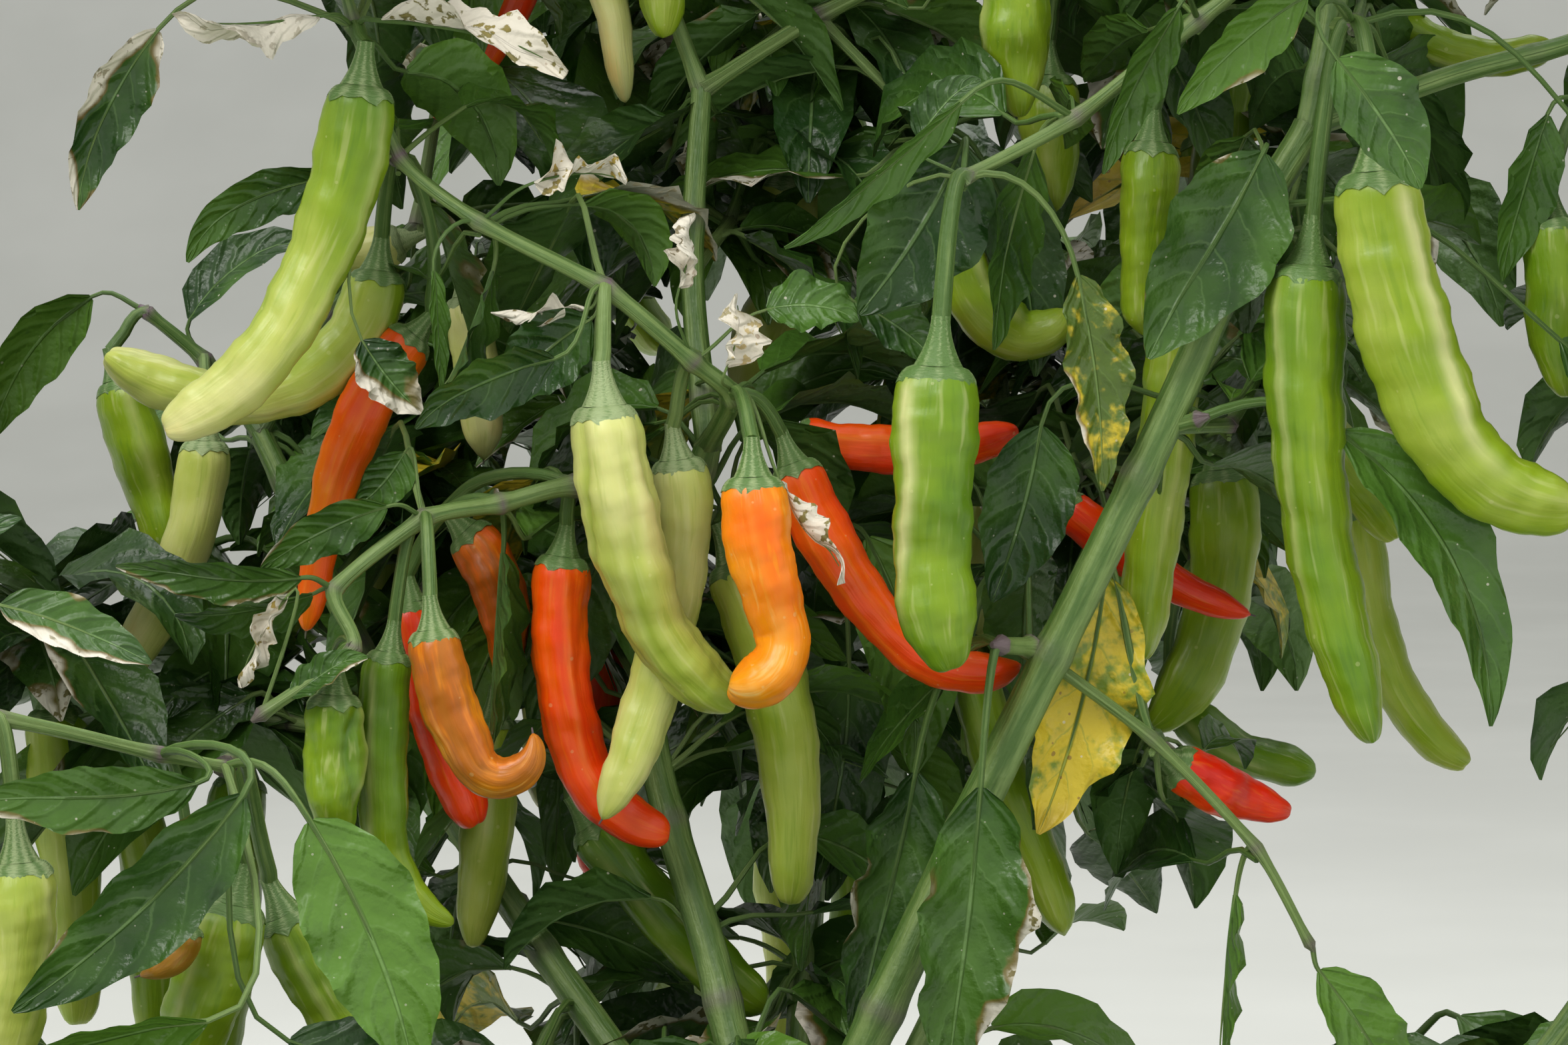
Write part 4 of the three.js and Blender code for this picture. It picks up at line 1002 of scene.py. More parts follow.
             (2, (176, 4, 444), 0, (-110, -104, -96), 40, 15, 60),
         ),
         shoots=(Shoot((214, 24, 476), (0.6, 0.1, 0.78), 38, 1.9, 1, 37),),
         reach=((226, 16, 478), (52, 72, 90))),
    Mass("foliage_right_back", Zone.BACK,
         nodes=((108, 128, 372), (112, 104, 384), (100, 88, 378), (74, 84, 358), (58, 80, 334),
                (134, 86, 382), (104, 98, 334)),
         stems=(((0, 1, 2, 3, 4), (2.2, 1.3)), ((1, 5), (1.6, 1.3)), ((0, 6), (1.7, 1.3))),
         fruits=(
             (2, (109, 80, 359), 0, (-82, -106, -140), 70, 17, (0.22, 0.26, 0.3, 0)),
             (4, (46, 56, 311), 0, (-78, -66, -72), 68, 13, (0.22, 0.28, 0.3, 0)),
             (6, (101, 92, 298), 0, (-50, -18, -6), 38, 12, (0.14, 0.16, 0.3, 0)),
             (3, (68, 52, 352), 0, (-42, -30, -18), 52, 11, (0.95, 0.97, 0.2, 0)),
             (5, (140, 60, 350), 0, (-88, -66, -30), 72, 13, (0.28, 0.34, 0.3, 0)),
         ),
         leaves=(
             (1, (126, 90, 386), 0, (-60, -76, -86), 60, 22, 70),
             (3, (80, 74, 346), 0, (-90, -96, -90), 60, 24, 76),
         ),
         shoots=(Shoot((108, 128, 372), (0.3, 0.3, 0.9), 48, 2.2, 0, 43),),
         reach=((116, 122, 400), (86, 72, 118))),
    Mass("foliage_centre_back", Zone.BACK,
         nodes=((-31, 43, 322), (-34, 58, 330), (-54, 60, 318), (-14, 58, 350), (10, 54, 344)),
         stems=(((0, 1, 2), (2, 1.4)), ((1, 3, 4), (1.7, 1.3))),
         fruits=(
             (3, (-12, 34, 339), 0, (-66, -84, -96), 85, 16, (0.33, 0.36, 0.4, 0)),
             (2, (-47, 48, 274), 0, (-54, -46, -36), 62, 14, (0.12, 0.16, 0.3, 0)),
             (2, (-70, 46, 300), 0, (-92, -98, -96), 56, 13, (0.32, 0.36, 0.3, 0)),
         ),
         leaves=(
             (1, (-40, 40, 346), 0, (-120, -110, -100), 56, 22, 76),
             (4, (20, 46, 344), 0, (-60, -84, -96), 60, 24, 78),
             (2, (-66, 46, 326), 0, (-120, -106, -96), 56, 22, 72),
             (3, (-10, 62, 366), 0, (60, 20, -30), 46, 18, 60),
             (4, (16, 66, 312), 0, (-90, -100, -104), 56, 22, 70),
             (2, (-56, 78, 306), 20, (-90, -92, -88), 52, 20, 66),
         )),
    seeded("foliage_back", Zone.BACK, Shoot((0, 166, 378), (-0.25, 0.35, 0.9), 46, 2.3, 0, 53),
           (-24, 172, 436), (92, 72, 112)),
    seeded("foliage_back_low", Zone.BACK, Shoot((8, 118, 298), (0.2, 0.96, -0.1), 44, 2.1, 0, 59),
           (12, 158, 258), (96, 84, 92)),
    seeded("foliage_left_low", Zone.LEFT, Shoot((-92, 72, 290), (-0.75, 0.5, 0.1), 44, 2.1, 0, 61),
           (-146, 100, 264), (82, 80, 84)),
    seeded("foliage_left_side", Zone.LEFT, Shoot((-214, 22, 280), (-0.35, 0.1, 0.93), 44, 2.1, 0, 67),
           (-222, 18, 338), (58, 80, 112)),
    seeded("foliage_left_foot", Zone.LEFT,
           Shoot((-165, -78, 214), (0.5, -0.6, -0.3), 40, 2, 0, 71, lift=-0.04),
           (-130, -88, 186), (96, 70, 66)),
    seeded("foliage_right_side", Zone.RIGHT, Shoot((212, 20, 268), (0.25, 0.1, 0.96), 46, 2.1, 0, 73),
           (222, 18, 322), (54, 84, 104)),
    seeded("foliage_right_low", Zone.RIGHT, Shoot((156, 16, 198), (0.3, 0.9, 0.1), 42, 2, 0, 79, lift=0),
           (160, 52, 200), (92, 84, 70)),
    seeded("foliage_front_right", Zone.RIGHT,
           Shoot((136, -84, 214), (0.8, -0.3, 0.0), 42, 2.1, 0, 83, lift=0.02),
           (136, -92, 196), (108, 70, 70)),
    seeded("foliage_front_low", Zone.RIGHT, Shoot((44, -36, 176), (-0.5, -0.8, 0), 42, 2, 0, 89, lift=0),
           (0, -84, 176), (100, 74, 64)),
    seeded("foliage_left_foot_side", Zone.LEFT,
           Shoot((-76, 4, 158), (-0.5, -0.4, 0.3), 38, 1.9, 0, 97, lift=0), (-116, 6, 178), (84, 72, 56)),
    seeded("foliage_centre", Zone.BACK, Shoot((-33, 46, 305), (-0.3, 0.86, 0.41), 40, 1.9, 1, 338),
           (-49, 91, 326), (62, 56, 66)),
    seeded("foliage_centre_high", Zone.TOP, Shoot((-22, 42, 408), (0.21, 0.93, 0.31), 40, 1.9, 1, 350),
           (-11, 90, 424), (62, 56, 66)),
    seeded("foliage_left_middle", Zone.LEFT, Shoot((-112, 84, 330), (0.3, 0.81, 0.51), 40, 1.9, 1, 338),
           (-96, 126, 356), (62, 56, 66)),
    seeded("foliage_right_middle", Zone.BACK, Shoot((92, 112, 336), (-0.3, 0.81, 0.51), 40, 1.9, 1, 352),
           (76, 154, 362), (62, 56, 66)),
    seeded("foliage_trunk_right", Zone.RIGHT,
           Shoot((1, 1, 98), (0.86, 0.3, 0.41), 44, 1.9, 1, 233, lift=0.05), (70, 24, 116), (72, 62, 56)),
    seeded("foliage_trunk_left", Zone.LEFT,
           Shoot((2, 1, 84), (-0.71, 0.61, 0.35), 44, 1.9, 1, 239, lift=0.05),
           (-52, 52, 108), (70, 62, 56)),
)


@dataclass
class MeshBag:
    """Points, faces and values of one piece, collected before its mesh is made.

    Attributes:
        points: Arrays of points, in millimetres.
        faces: Arrays of quads; a triangle repeats its last corner.
        values: Arrays of each named value.
        count: Points so far.
    """

    points: list = field(default_factory=list)
    faces: list = field(default_factory=list)
    values: dict = field(default_factory=dict)
    count: int = 0

    def tube(self, rings: np.ndarray, **values: object) -> None:
        """Add a closed tube.

        Args:
            rings: Points, by ring and by place round it.
            values: Value of each point, in the shape of rings or one that spreads to it.
        """
        rows, sides = rings.shape[:2]
        ids = np.arange(rows * sides).reshape(rows, sides) + self.count
        turned = np.roll(ids, -1, 1)
        quads = np.stack([ids[:-1], turned[:-1], turned[1:], ids[1:]], -1).reshape(-1, 4)
        low, high = self.count + rows * sides, self.count + rows * sides + 1
        ends = [np.stack([turned[0], ids[0], np.full(sides, low), np.full(sides, low)], -1),
                np.stack([ids[-1], turned[-1], np.full(sides, high), np.full(sides, high)], -1)]
        self.points.append(np.vstack([rings.reshape(-1, 3), rings[0].mean(0), rings[-1].mean(0)]))
        self.faces.append(np.vstack([quads, *ends]))
        for key, value in values.items():
            wide = np.broadcast_to(value, (rows, sides))
            self.values.setdefault(key, []).append(
                np.concatenate([wide.ravel(), [wide[0].mean(), wide[-1].mean()]]))
        self.count += rows * sides + 2

    def piece(self, name: str, material: Optional[Material], edge: float = 180) -> Piece:
        """Make the piece.

        Args:
            name: Its name.
            material: Its material.
            edge: Angle in degrees from which an edge is sharp.

        Returns:
            The new object.
        """
        mesh = bpy.data.meshes.new(name)
        faces = np.vstack(self.faces)
        triangle = faces[:, 2] == faces[:, 3]
        keep = np.ones(faces.shape, bool)
        keep[triangle, 3] = False
        loops = faces[keep]
        mesh.vertices.add(self.count)
        mesh.vertices.foreach_set("co", (np.vstack(self.points) * MM).ravel())
        mesh.loops.add(len(loops))
        mesh.loops.foreach_set("vertex_index", loops.astype(np.int32))
        mesh.polygons.add(len(faces))
        starts = np.concatenate([[0], np.cumsum(np.where(triangle, 3, 4))[:-1]])
        mesh.polygons.foreach_set("loop_start", starts.astype(np.int32))
        mesh.update(calc_edges=True)
        for key, value in self.values.items():
            mesh.attributes.new(key, "FLOAT", "POINT").data.foreach_set("value", np.concatenate(value))
        mesh.shade_smooth()
        if edge < 180:
            mesh.set_sharp_from_angle(angle=math.radians(edge))
        if material:
            mesh.materials.append(material)
        return finished(bpy.data.objects.new(name, mesh))


def finished(piece: Piece) -> Piece:
    """Put a new object in the scene, report it and return it."""
    if piece.name not in bpy.context.scene.collection.objects:
        bpy.context.scene.collection.objects.link(piece)
    log.info("%s: %d faces", piece.name, len(piece.data.polygons))
    return piece


def circle(sides: int) -> np.ndarray:
    """Return even angles round a circle, as one row."""
    return np.linspace(0, CIRCLE, sides, endpoint=False)[None]


def turned_to(angle: np.ndarray) -> np.ndarray:
    """Return angles within half a turn to either side."""
    return (angle + np.pi) % CIRCLE - np.pi


def hump(x: np.ndarray, wide: float) -> np.ndarray:
    """Return 1 where x is 0, falling to 0 over a width."""
    return np.exp(-(x / wide) ** 2)


def leaf_width(t: np.ndarray) -> np.ndarray:
    """Return the half width of a blade as a share: 0 at both ends, 1 at the widest place."""
    return np.sin(np.pi * np.clip(t, 0, 1) ** 0.75).clip(0) ** 0.8


def fruit_radius(t: np.ndarray, neck: float, taper: float, blunt: float) -> np.ndarray:
    """Return the radius of a fruit as a share.

    Args:
        t: Share of the length.
        neck: Share of the length over which the shoulder is rounded.
        taper: How much thinner it gets toward the tip.
        blunt: Share of the length over which the tip is rounded off.

    Returns:
        1 at its widest.
    """
    shoulder = 0.55 + 0.45 * np.sqrt(1 - (1 - np.minimum(1, t / neck)) ** 2)
    fall = 1 - taper * (np.maximum(t - 0.3, 0) / 0.7) ** 1.5
    tip = np.sqrt(np.clip(1 - (np.maximum(t + blunt - 1, 0) / blunt) ** 2, 0, 1))
    return shoulder * fall * (0.05 + 0.95 * tip)


class Bent:
    """The bent middle line of a leaf or fruit, as arrays."""

    def __init__(self, thing: Hanging, rows: np.ndarray) -> None:
        """Work out points and frames.

        Args:
            thing: The leaf or fruit.
            rows: Shares of the length.
        """
        a, roll = math.radians(thing.azimuth), math.radians(thing.roll)
        fine = np.linspace(0, 1, 8 * STEPS + 1)
        slope = np.radians(np.interp((fine[1:] + fine[:-1]) / 2, (0, 0.6, 1), thing.bends))
        level = np.concatenate([[0], np.cumsum(np.cos(slope))]) * thing.length / (8 * STEPS)
        rise = np.concatenate([[0], np.cumsum(np.sin(slope))]) * thing.length / (8 * STEPS)
        level, rise = np.interp(rows, fine, level), np.interp(rows, fine, rise)
        here = np.radians(np.interp(rows, (0, 0.6, 1), thing.bends))
        out = np.array((math.cos(a), math.sin(a), 0))
        flat = np.array((-math.sin(a), math.cos(a), 0))
        z = np.array((0, 0, 1.0))
        self.middle = np.array(thing.base) + level[:, None] * out + rise[:, None] * z
        self.way = np.cos(here)[:, None] * out + np.sin(here)[:, None] * z
        self.side = flat * math.cos(roll) + np.cross(self.way, flat) * math.sin(roll)
        self.up = np.cross(self.way, self.side)

    def place(self, x: np.ndarray, y: np.ndarray, z: Optional[np.ndarray] = None) -> np.ndarray:
        """Return points set off from the middle line.

        Args:
            x: Distance to the side, by row and place.
            y: Distance upward from the blade.
            z: Distance along the way.

        Returns:
            Points by row and place.
        """
        points = self.middle[:, None] + x[..., None] * self.side[:, None] + y[..., None] * self.up[:, None]
        return points if z is None else points + z[..., None] * self.way[:, None]


@dataclass
class LeafMaker:
    """Makes blades: closed, thin, folded along the midrib, with waved or rolled margins.

    Attributes:
        thick: Thickness at the midrib.
        fold: Rise of the margin by the fold, as a share of the half width.
        waves: Waves along a margin.
        swing: Height of the waves, as a share of the half width.
        pillow: Rise between the side veins, as a share of the half width.
        side_veins: Side veins on each half.
        keel: How far the midrib stands out below.
        rough_edge: Ranges of the turns of the three ripples along the margin.
    """

    thick: float = 0.42
    fold: float = 0.26
    waves: float = 3.4
    swing: float = 0.24
    pillow: float = 0.055
    side_veins: int = 6
    keel: float = 0.5
    rough_edge: tuple = ((9, 16), (18, 28), (30, 44))

    def blade(self, bag: MeshBag, leaf: Hanging, rows: int, half: int) -> None:
        """Add one blade.

        Args:
            bag: Where it goes.
            leaf: The leaf.
            rows: Rows along it.
            half: Columns from margin to margin.
        """
        dice = np.random.default_rng(leaf.seed + int(leaf.length * 10))
        age, bleach, wave, *shade = leaf.look
        dead = max(0.0, bleach - 0.55) / 0.45
        t = np.linspace(0.004, 0.996, rows + 1)[:, None]
        s = np.concatenate([np.linspace(-1, 1, half + 1), np.linspace(1, -1, half + 1)[1:-1]])
        under = np.concatenate([np.zeros(half + 1), np.ones(half - 1)])
        out = np.abs(s)
        width = leaf.width / 2 * leaf_width(t) + 0.25
        rag = 0.014 + 0.028 * wave + 0.02 * age + 0.1 * dead
        for low, high in self.rough_edge:
            turns, left, right = dice.uniform(low, high), dice.uniform(0, 6), dice.uniform(0, 6)
            width = width * (1 + rag * np.sin(turns * t + np.where(s < 0, left, right)) * (s != 0))
        curl = (0.25 + 1.3 * dead + 0.3 * wave) * (0.8 + 0.5 * np.sin(3 * t + dice.uniform(0, 6)))
        x = width * np.sin(curl * s) / curl
        y = width * (1 - np.cos(curl * s)) / curl + self.fold * dice.uniform(0.4, 1.3) * width * out
        for side in (-1, 1):
            phase, turns = dice.uniform(0, 6.28), CIRCLE * self.waves * dice.uniform(0.8, 1.3)
            swing = np.sin(turns * t + phase) + 0.4 * np.sin(2.3 * turns * t + 2 * phase)
            high = self.swing * wave * (1 - 0.7 * dead)
            y = y + np.where(np.sign(s) == side, high * width * s ** 2 * swing, 0)
        y = y + 0.018 * leaf.length * np.sin(5 * t + dice.uniform(0, 6)) * t
        for _ in range(4):
            f, h = dice.uniform(8, 26), dice.uniform(-6, 6)
            lump = 0.02 * width * np.sin(f * t + h * s + dice.uniform(0, 6))
            y = y + lump * np.minimum(1, 4 * out)
        if dead:
            x, y = self.crumple(dice, t, s, x, y, dead, leaf.width)
        turn = dead * 1.7 * np.sin(dice.uniform(2.5, 5) * t + dice.uniform(0, 6))
        x, y = x * np.cos(turn) - y * np.sin(turn), x * np.sin(turn) + y * np.cos(turn)
        pillow = np.abs(np.sin(np.pi * (self.side_veins * t - 1.5 * out))) - 0.6
        y = y + self.pillow * (1 - 0.8 * dead) * width * pillow * (1 - out) * np.minimum(1, 4 * out)
        lens = self.thick / 2 * np.sqrt(np.clip(1 - s ** 2, 0.04, 1)) * (out < 1)
        y = y + np.where(under > 0, -lens, lens) - under * self.keel * hump(s, 0.09) * (1 - 0.7 * t)
        bag.tube(Bent(leaf, t[:, 0]).place(x, y), across=s, along=t, under=under, age=age, bleach=bleach,
                 tone=shade[0] if shade else dice.uniform())

    @staticmethod
    def crumple(dice: np.random.Generator, t: np.ndarray, s: np.ndarray, x: np.ndarray, y: np.ndarray,
                dead: float, wide: float) -> tuple[np.ndarray, np.ndarray]:
        """Crumple a shrunken blade.

        Args:
            dice: Random numbers.
            t: Shares of the length.
            s: Place between the margins, from -1 to 1.
            x: Distance to the side.
            y: Distance upward.
            dead: How shrunken it is, from 0 to 1.
            wide: Width of the blade.

        Returns:
            x and y of its points.
        """
        for _ in range(5):
            f, h, phase = dice.uniform(3, 17), dice.uniform(-3, 3), dice.uniform(0, 6)
            push = dead * 0.085 * wide * np.minimum(1, 5 * t)
            y = y + push * np.sin(f * t + h * s + phase)
            x = x + 0.6 * push * np.cos(f * t - h * s + phase)
        return x, y


@dataclass
class FruitMaker:
    """Makes the fruit and the green cups that they hang from.

    Attributes:
        cup_teeth: Teeth on a cup.
        cup_wall: How far a cup stands off the shoulder.
        stalk: Radius of the stalk at the cup of a fruit of the usual width.
        flare: Height of the flare above the cup, as a share of the width.
        usual: Usual width of a fruit.
        creases: Creases down a fruit.
    """

    cup_teeth: int = 5
    cup_wall: float = 0.26
    stalk: float = 1.95
    flare: float = 0.6
    usual: float = 16
    creases: int = 5

    def swell(self, fruit: Hanging, t: np.ndarray, around: np.ndarray) -> tuple[np.ndarray, ...]:
        """Return the radius of a fruit.

        Args:
            fruit: The fruit.
            t: Shares of the length.
            around: Angles round it.

        Returns:
            Radius by row and place, how near its pale ridge it is, and how deep in a crease. The ridge
            raises the skin a little; its pale colour is a painted highlight.
        """
        dice = np.random.default_rng(fruit.seed + int(fruit.length * 10))
        striped = len(fruit.look) > 4
        a = around + dice.uniform(0, 6.28) + dice.uniform(-1.2, 1.2) * t
        lobes = 0.045 * np.cos(3 * a) * (1 + 2.2 * t ** 8) + 0.04 * np.cos(2 * a + 1) * (1 - 0.5 * t)
        groove = np.zeros_like(a * t)
        for k in range(self.creases):
            spot = turned_to(a - k * 1.257 + 0.3 * np.sin(7 * t + k))
            groove = groove - hump(spot, 0.19) * dice.uniform(0.2, 1)
        groove = groove * fruit.look[2] * 0.16 * (1.05 - 0.6 * t) * np.minimum(1, 0.3 + 4 * t)
        run = CIRCLE * fruit.length * t
        swings = dice.uniform(0, 6, 4)
        dents = 0.038 * np.sin(run / 19 + 1.6 * np.sin(a + swings[0]) + swings[1])
        dents = dents + 0.022 * np.sin(run / 8.5 + 2 * a + swings[2]) + 0.009 * np.sin(run / 3.9 - 3 * a)
        uneven = 0.08 * np.sin(dice.uniform(4.5, 8) * t + swings[3]) * np.sin(np.pi * t)
        # The pale ridge is a painted highlight, set at an angle from the side that faces the front view: a
        # striped fruit has its own angle, the others a random one. It also raises the skin a little.
        stripe = math.radians(fruit.look[4]) if striped else dice.uniform(-1.5, 1.5)
        spot = turned_to(around - self.facing(fruit) - stripe + 0.2 * np.sin(5 * t))
        ridge = hump(spot, 0.18 if striped else 0.13) * np.minimum(1, 12 * t) * np.clip(3.4 - 4 * t, 0, 1)
        shape = 1 + lobes + groove + (dents + uneven) * np.minimum(1, 6 * t) + 0.05 * ridge
        slender = max(0.0, fruit.length / fruit.width - 5)
        taper = min(0.6, dice.uniform(0.14, 0.38) + 0.14 * slender)
        blunt = dice.uniform(0.5, 1.05) * fruit.width / fruit.length
        line = fruit_radius(t, 0.42 * fruit.width / fruit.length, taper, blunt)
        return fruit.width / 2 * line * shape, ridge, np.clip(-groove * 8, 0, 1)

    def flesh(self, bag: MeshBag, fruit: Hanging, rows: int, sides: int) -> None:
        """Add the flesh of one fruit.

        Args:
            bag: Where it goes.
            fruit: The fruit.
            rows: Rows along it.
            sides: Places round it.
        """
        dice = np.random.default_rng(fruit.seed)
        t = np.linspace(0, 1, rows + 1)[:, None]
        t = 0.3 * t + 0.7 * (0.5 - 0.5 * np.cos(np.pi * t))
        a = circle(sides)
        radius, ridge, crease = self.swell(fruit, t, a)
        sway = np.sin(6 * t + dice.uniform(0, 6)) + 0.4 * np.sin(14 * t + dice.uniform(0, 6))
        sway = sway * fruit.width * 0.11 * np.sin(np.pi * t)
        first, last, _, brown, *stripe = fruit.look
        # How strongly the painted highlight stripe shows: fully on a striped fruit, weaker at random on the
        # others.
        shown = 1 if stripe else dice.uniform(0.05, 0.6)
        ripe = first + (last - first) * t + 0.03 * np.sin(2 * a + 4 * t + dice.uniform(0, 6))
        dimple = dice.uniform(-1.3, 1.4) * hump(radius, 0.14 * fruit.width) * (t > 0.9)
        bag.tube(Bent(fruit, t[:, 0]).place(radius * np.cos(a) + sway, radius * np.sin(a), dimple), along=t,
                 around=a / CIRCLE, ripe=ripe, brown=brown, ridge=ridge * shown, crease=crease,
                 tone=dice.uniform())

    def cup(self, bag: MeshBag, fruit: Hanging, sides: int) -> None:
        """Add the cup of one fruit.

        Args:
            bag: Where it goes.
            fruit: The fruit.
            sides: Places round it.
        """
        dice = np.random.default_rng(fruit.seed + 1)
        a = circle(sides)
        half, stalk, grade = fruit.width / 2, self.stalk_of(fruit), fruit.width / self.usual
        teeth = 0.6 * np.abs(np.cos(a * self.cup_teeth / 2 + dice.uniform(0, 3))) ** 6
        teeth = teeth + 0.4 * np.abs(np.cos(a * (self.cup_teeth + 4) / 2 + dice.uniform(0, 3))) ** 4
        rows = [(-self.tall(fruit) * (1 - u) - 0.3, stalk + (0.6 * half - stalk) * u ** 1.9)
                for u in np.linspace(0, 1, 9)]
        for deep, rise in ((0.0, 0.3), (0.35, 0.2), (1.0, 0.1), (1.8, 0.0)):
            over = self.swell(fruit, np.array([[deep * grade / fruit.length]]), a)[0]
            rows.append(((deep - rise) * grade, over + self.cup_wall))
        for deep, off in ((2.2, 0.9), (2.25, -1.6), (1.2, -4.0)):
            rim = grade * (deep + (2.0 * teeth if deep > 2 else 0))
            rows.append((rim, self.swell(fruit, rim / fruit.length + 0 * a, a)[0] + self.cup_wall * off))
        t = np.linspace(0, 1, len(rows))[:, None]
        down, radius = (np.vstack([row[k] + 0 * a for row in rows]) for k in (0, 1))
        radius = radius * (1 + 0.03 * np.cos(10 * a) * (1 - t))
        start = Bent(replace(fruit, length=1.0), np.zeros(len(rows)))
        bag.tube(start.place(radius * np.cos(a), radius * np.sin(a), down), along=t, around=a / CIRCLE,
                 tone=self.tone_of(fruit))

    @staticmethod
    def tone_of(fruit: Hanging) -> float:
        """Return how pale the cup and stalk of a fruit are; cream fruit have the palest."""
        cream = min(1.0, max(0.0, 1.25 - abs(fruit.look[0] - 0.55) / 0.2))
        return 0.15 + 0.7 * cream + 0.15 * (fruit.seed % 97) / 97

    @staticmethod
    def facing(fruit: Hanging) -> float:
        """Return the angle round a fruit that looks to the front."""
        start = Bent(fruit, np.array([0.3]))
        return math.atan2(-start.up[0, 1], -start.side[0, 1])

    def stalk_of(self, fruit: Hanging) -> float:
        """Return the radius of a fruit's stalk at its cup."""
        return self.stalk * (0.35 + 0.65 * fruit.width / self.usual)

    def tall(self, fruit: Hanging) -> float:
        """Return the height of the flare from the stalk to the cup."""
        return self.flare * fruit.width


@dataclass
class LimbMaker:
    """Makes the trunk and the boughs, with ridges, fissures and swollen nodes.

    Attributes:
        flare: How far the trunk spreads at the ground.
        flare_height: Height over which the spread falls off.
        ridge: Height of the ridges as a share of the radius.
        ridges: Ridges round a limb.
        cracks: Fissures of the bark round a limb.
        crack_depth: Depth of a fissure as a share of the radius.
        sides: Places round a limb.
        step: Distance between rows.
        node_step: Distance between swollen nodes.
        node_swell: Swelling of a node on the trunk and on a bough.
        woody_height: Height up to which the trunk is corky.
    """

    flare: float = 6.5
    flare_height: float = 16
    ridge: float = 0.06
    ridges: int = 5
    cracks: int = 16
    crack_depth: float = 0.075
    sides: int = 64
    step: float = 1.6
    node_step: float = 46
    node_swell: Span = (0.03, 0.12)
    woody_height: float = 150

    def limb(self, bag: MeshBag, limb: Limb, grounded: bool) -> None:
        """Add one limb.

        Args:
            bag: Where it goes.
            limb: The limb.
            grounded: Whether it is the trunk.
        """
        dice = np.random.default_rng(int(limb.points[-1][0] + 1000))
        run, middle, side, up = self.frames(limb)
        run, a = run[:, None], circle(self.sides)
        t = run / run[-1]
        radius = limb.radius[0] + (limb.radius[1] - limb.radius[0]) * t
        woody = np.clip(1.15 - run / self.woody_height, 0, 1) if grounded else np.clip(0.22 - t, 0, 1)
        twist = a + 0.5 * t + dice.uniform(0, 6)
        ridges = self.ridge * (0.6 + 0.4 * np.cos(0.05 * run)) * np.cos(self.ridges * twist)
        cracks = np.zeros_like(t * a)
        for k in range(self.cracks):
            spot = turned_to(twist - k * 0.39 + 0.22 * np.sin(run / 9 + 2.4 * k))
            cracks = cracks - hump(spot, 0.075) * np.clip(np.sin(run / 13 + k * 1.7) + 0.35, 0, 1)
        node = hump((run + 12) % self.node_step - self.node_step / 2, 3.4)
        bark = self.crack_depth * cracks + 0.012 * np.sin(run / 3.1 + 3 * a)
        radius = radius * (1 + ridges + woody * bark + self.node_swell[0 if grounded else 1] * node)
        if grounded:
            radius = radius + self.flare * np.exp(-run / self.flare_height) * (1 + 0.12 * np.cos(3 * a))
        points = middle[:, None] + (radius * np.cos(a))[..., None] * side[:, None] + (
            radius * np.sin(a))[..., None] * up[:, None]
        if grounded:
            points[0, :, 2] = 0
            points[..., 2] = np.maximum(points[..., 2], 0)
        bag.tube(points, along=run, around=a / CIRCLE, woody=woody, node=node, tone=dice.uniform())

    def frames(self, limb: Limb) -> tuple[np.ndarray, ...]:
        """Return the rows of a limb.

        Args:
            limb: The limb.

        Returns:
            Distance along it, middle, and two ways square to it that don't twist.
        """
        fine = np.array(limb.path(400))
        run = np.concatenate([[0], np.cumsum(np.linalg.norm(np.diff(fine, axis=0), axis=1))])
        at = np.linspace(0, run[-1], max(12, int(run[-1] / self.step)) + 1)
        middle = np.stack([np.interp(at, run, fine[:, k]) for k in range(3)], -1)
        way = np.gradient(middle, axis=0)
        way /= np.linalg.norm(way, axis=1)[:, None]
        side = np.zeros_like(way)
        last = np.array(any_side(tuple(way[0])))
        for i, w in enumerate(way):
            last = last - w * last.dot(w)
            last /= np.linalg.norm(last)
            side[i] = last
        return at, middle, side, np.cross(way, side)


